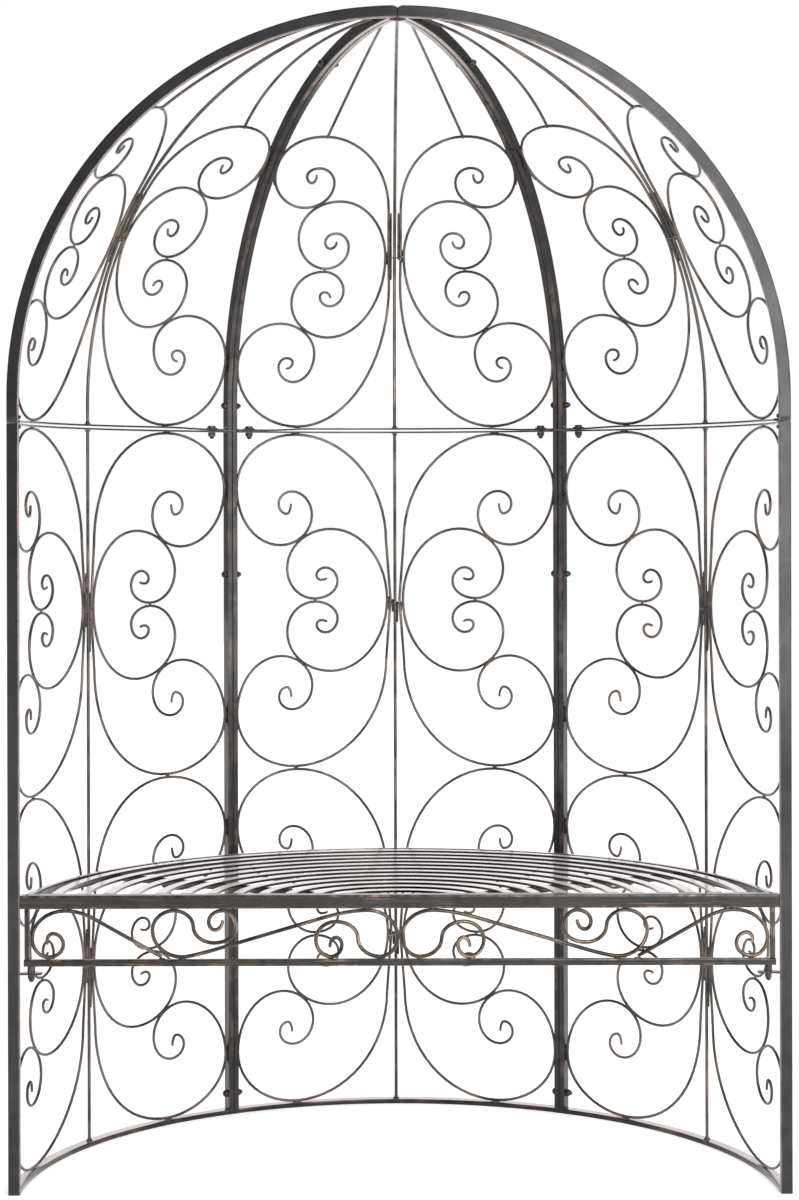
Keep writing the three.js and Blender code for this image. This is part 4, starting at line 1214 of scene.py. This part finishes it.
# Apron: rail, end bars, scrolls, tabs and their bolts. Places are shares of its reach and its rise.
apron = {
    "rod": 0.0065,
    "slantEase": 0.18,
    "railCorner": 0.0015,
    "shrinkage": 0.01,
    "endScroll": [
        (0.91, 1), (1, 0.41), (0.956, 0), (0.915, 0.269), (0.943, 0.51), (0.959, 0.366), (0.955, 0.291),
    ],
    "endSlant": [(0.647, 0), (0.647, 0), (0.87, 1), (0.91, 1)],
    "longOuter": [
        (0.482, 0.79), (0.503, 0.58), (0.52, 0.76), (0.482, 1), (0.445, 0.63), (0.505, 0.3),
        (0.562, 0.66), (0.615, 1), (0.673, 0.575), (0.593, 0),
    ],
    "longSlant": [(0.593, 0), (0.57, 0), (0.14, 1), (0.087, 1)],
    "welds": [
        # share of the reach, share of the rise, length, height
        (0.91, 1.0, 0.010, 0.0060), (0.956, 0.0, 0.010, 0.0050), (0.482, 1.0, 0.011, 0.0055),
        (0.615, 1.0, 0.010, 0.0055), (0.087, 1.0, 0.010, 0.0060), (0.593, 0.0, 0.014, 0.0055),
        (0.647, 0.0, 0.014, 0.0060), (0.0544, 0.0, 0.012, 0.0050), (0.1877, 0.0, 0.010, 0.0050),
    ],
    "weldWidth": 0.0074,
    "weldForward": 0.0012,
    "endBarWeld": (1.05, 0.95, 0.0034),  # the first two as shares of the bar
}
apronRailLow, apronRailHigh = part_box("apron_bottom_rail")
endBarLow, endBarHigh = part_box("apron_end_bar_right")
apronMiddle = (apronRailLow.y + apronRailHigh.y) / 2
apronLow = apronRailHigh.z + fit + apron["rod"] / 2
apronRise = railLow.z - fit - apron["rod"] / 2 - apronLow
apronReach = endBarLow.x - fit - apron["rod"] / 2
centreTouch = (apron["rod"] / 2 + fit) / apronReach
apron["longInner"] = [
    (0.087, 1), (centreTouch, 0.432), (0.0544, 0), (0.114, 0.4), (0.1733, 0.756),
    (0.2285, 0.366), (0.1877, 0), (0.1578, 0.247), (0.1733, 0.415), (0.1904, 0.202),
]


def apronPlaces(shares):
    return [(share * apronReach, apronLow + rise * apronRise) for share, rise in shares]


def slantPlaces(shares):
    a, b, c, d = (Vector(place) for place in apronPlaces(shares))
    leave, arrive = b.lerp(c, apron["slantEase"]), c.lerp(b, apron["slantEase"])
    first = [a]
    if (b - a).length > 0:
        first = [a.lerp(b, t).lerp(b.lerp(leave, t), t) for t in evenly(8)]
    final = [arrive.lerp(c, t).lerp(c.lerp(d, t), t) for t in evenly(8)]
    return [tuple(place) for place in first + final]


def buildApronScroll(name, node, side, places):
    bm = startMesh()
    spots = [(Vector((side * x, apronMiddle, z)), toView) for x, z in spacedOut(places, 0.01)]
    roundRod(bm, spots, apron["rod"] / 2, sides=12, thinEnds=(True, True), rub=0.6)
    finishPiece(name, bm, "apronIron", [node])


def buildApronWelds():
    bm = startMesh()
    for side in (-1, 1):
        for share, rise, length, height in apron["welds"]:
            x, z = apronPlaces([(share, rise)])[0]
            z += apron["rod"] / 2 * (1 if rise > 0.5 else -1)
            point = Vector((side * x, apronMiddle - apron["weldForward"], z))
            bead(bm, point, rightward, upward, length, apron["weldWidth"], height, rub=0.8, rough=0.4)
    finishPiece("apronWelds", bm, "weldIron")


def buildApronBars():
    bm = startMesh()
    size = apronRailHigh.z - apronRailLow.z
    level = (apronRailLow.z + apronRailHigh.z) / 2
    left, right = (Vector((x, apronMiddle, level)) for x in (apronRailLow.x, apronRailHigh.x))
    corner, shrinkage = apron["railCorner"], apron["shrinkage"]
    flatBar(bm, straightSpots(left, right, bench["railSteps"]), size, size, corner, shrinkage)
    finishPiece("apronRail", bm, "benchIron", ["apron_bottom_rail"])
    width = endBarHigh.x - endBarLow.x
    length, across, height = apron["endBarWeld"]
    for label, side in (("left", -1), ("right", 1)):
        bm = startMesh()
        x = side * (endBarLow.x + endBarHigh.x) / 2
        foot, head = (Vector((x, apronMiddle, z)) for z in (endBarLow.z, endBarHigh.z))
        flatBar(bm, straightSpots(foot, head, 8), width, width, corner, shrinkage)
        for point in (foot + upward * 0.0008, head - upward * 0.0008):
            bead(bm, point, rightward, upward, width * length, width * across, height, rub=0.4)
        finishPiece(f"apronEndBar{label.title()}", bm, "benchIron", [f"apron_end_bar_{label}"])


buildApronBars()
buildApronWelds()
endPlaces = slantPlaces(apron["endSlant"]) + scrollPlaces(apronPlaces(apron["endScroll"]), False)[1:]
longPlaces = (
    scrollPlaces(apronPlaces(apron["longOuter"]), True)
    + slantPlaces(apron["longSlant"])[1:]
    + scrollPlaces(apronPlaces(apron["longInner"]), False)[1:]
)
for label, side in (("left", -1), ("right", 1)):
    buildApronScroll(f"apronEndScroll{label.title()}", f"apron_end_scroll_{label}", side, endPlaces)
    buildApronScroll(f"apronLongScroll{label.title()}", f"apron_long_scroll_{label}", side, longPlaces)
    copyFlat(f"apronTab{label.title()}", f"apron_tab_{label}", "benchIron", 0.0006)


apronNut = [
    (0.0, 0.0057, 0.0054), (0.0006, 0.0060, 0.0054), (0.0056, 0.0060, 0.0054), (0.0066, 0.0049),
    (0.0092, 0.0043), (0.0108, 0.0031), (0.0119, 0.0012),
]


def buildApronBolt(name, node):
    centre = middleOf(node)
    tabLow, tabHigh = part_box(node.replace("bolt", "tab"))
    bm = startMesh()
    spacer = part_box(node)[1].z - tabHigh.z - fit
    turned(bm, centre + upward * (tabHigh.z + fit), upward, [
        (0.0, 0.0062, 0.0058), (0.0008, 0.0065, 0.0060),
        (spacer - 0.0008, 0.0065, 0.0060), (spacer, 0.0062, 0.0058),
    ])
    turned(bm, centre + upward * (tabLow.z - fit), -upward, apronNut)
    finishPiece(name, bm, "boltIron", [node])


buildApronBolt("apronBoltLeft", "apron_bolt_left")
buildApronBolt("apronBoltRight", "apron_bolt_right")
print("apron made")
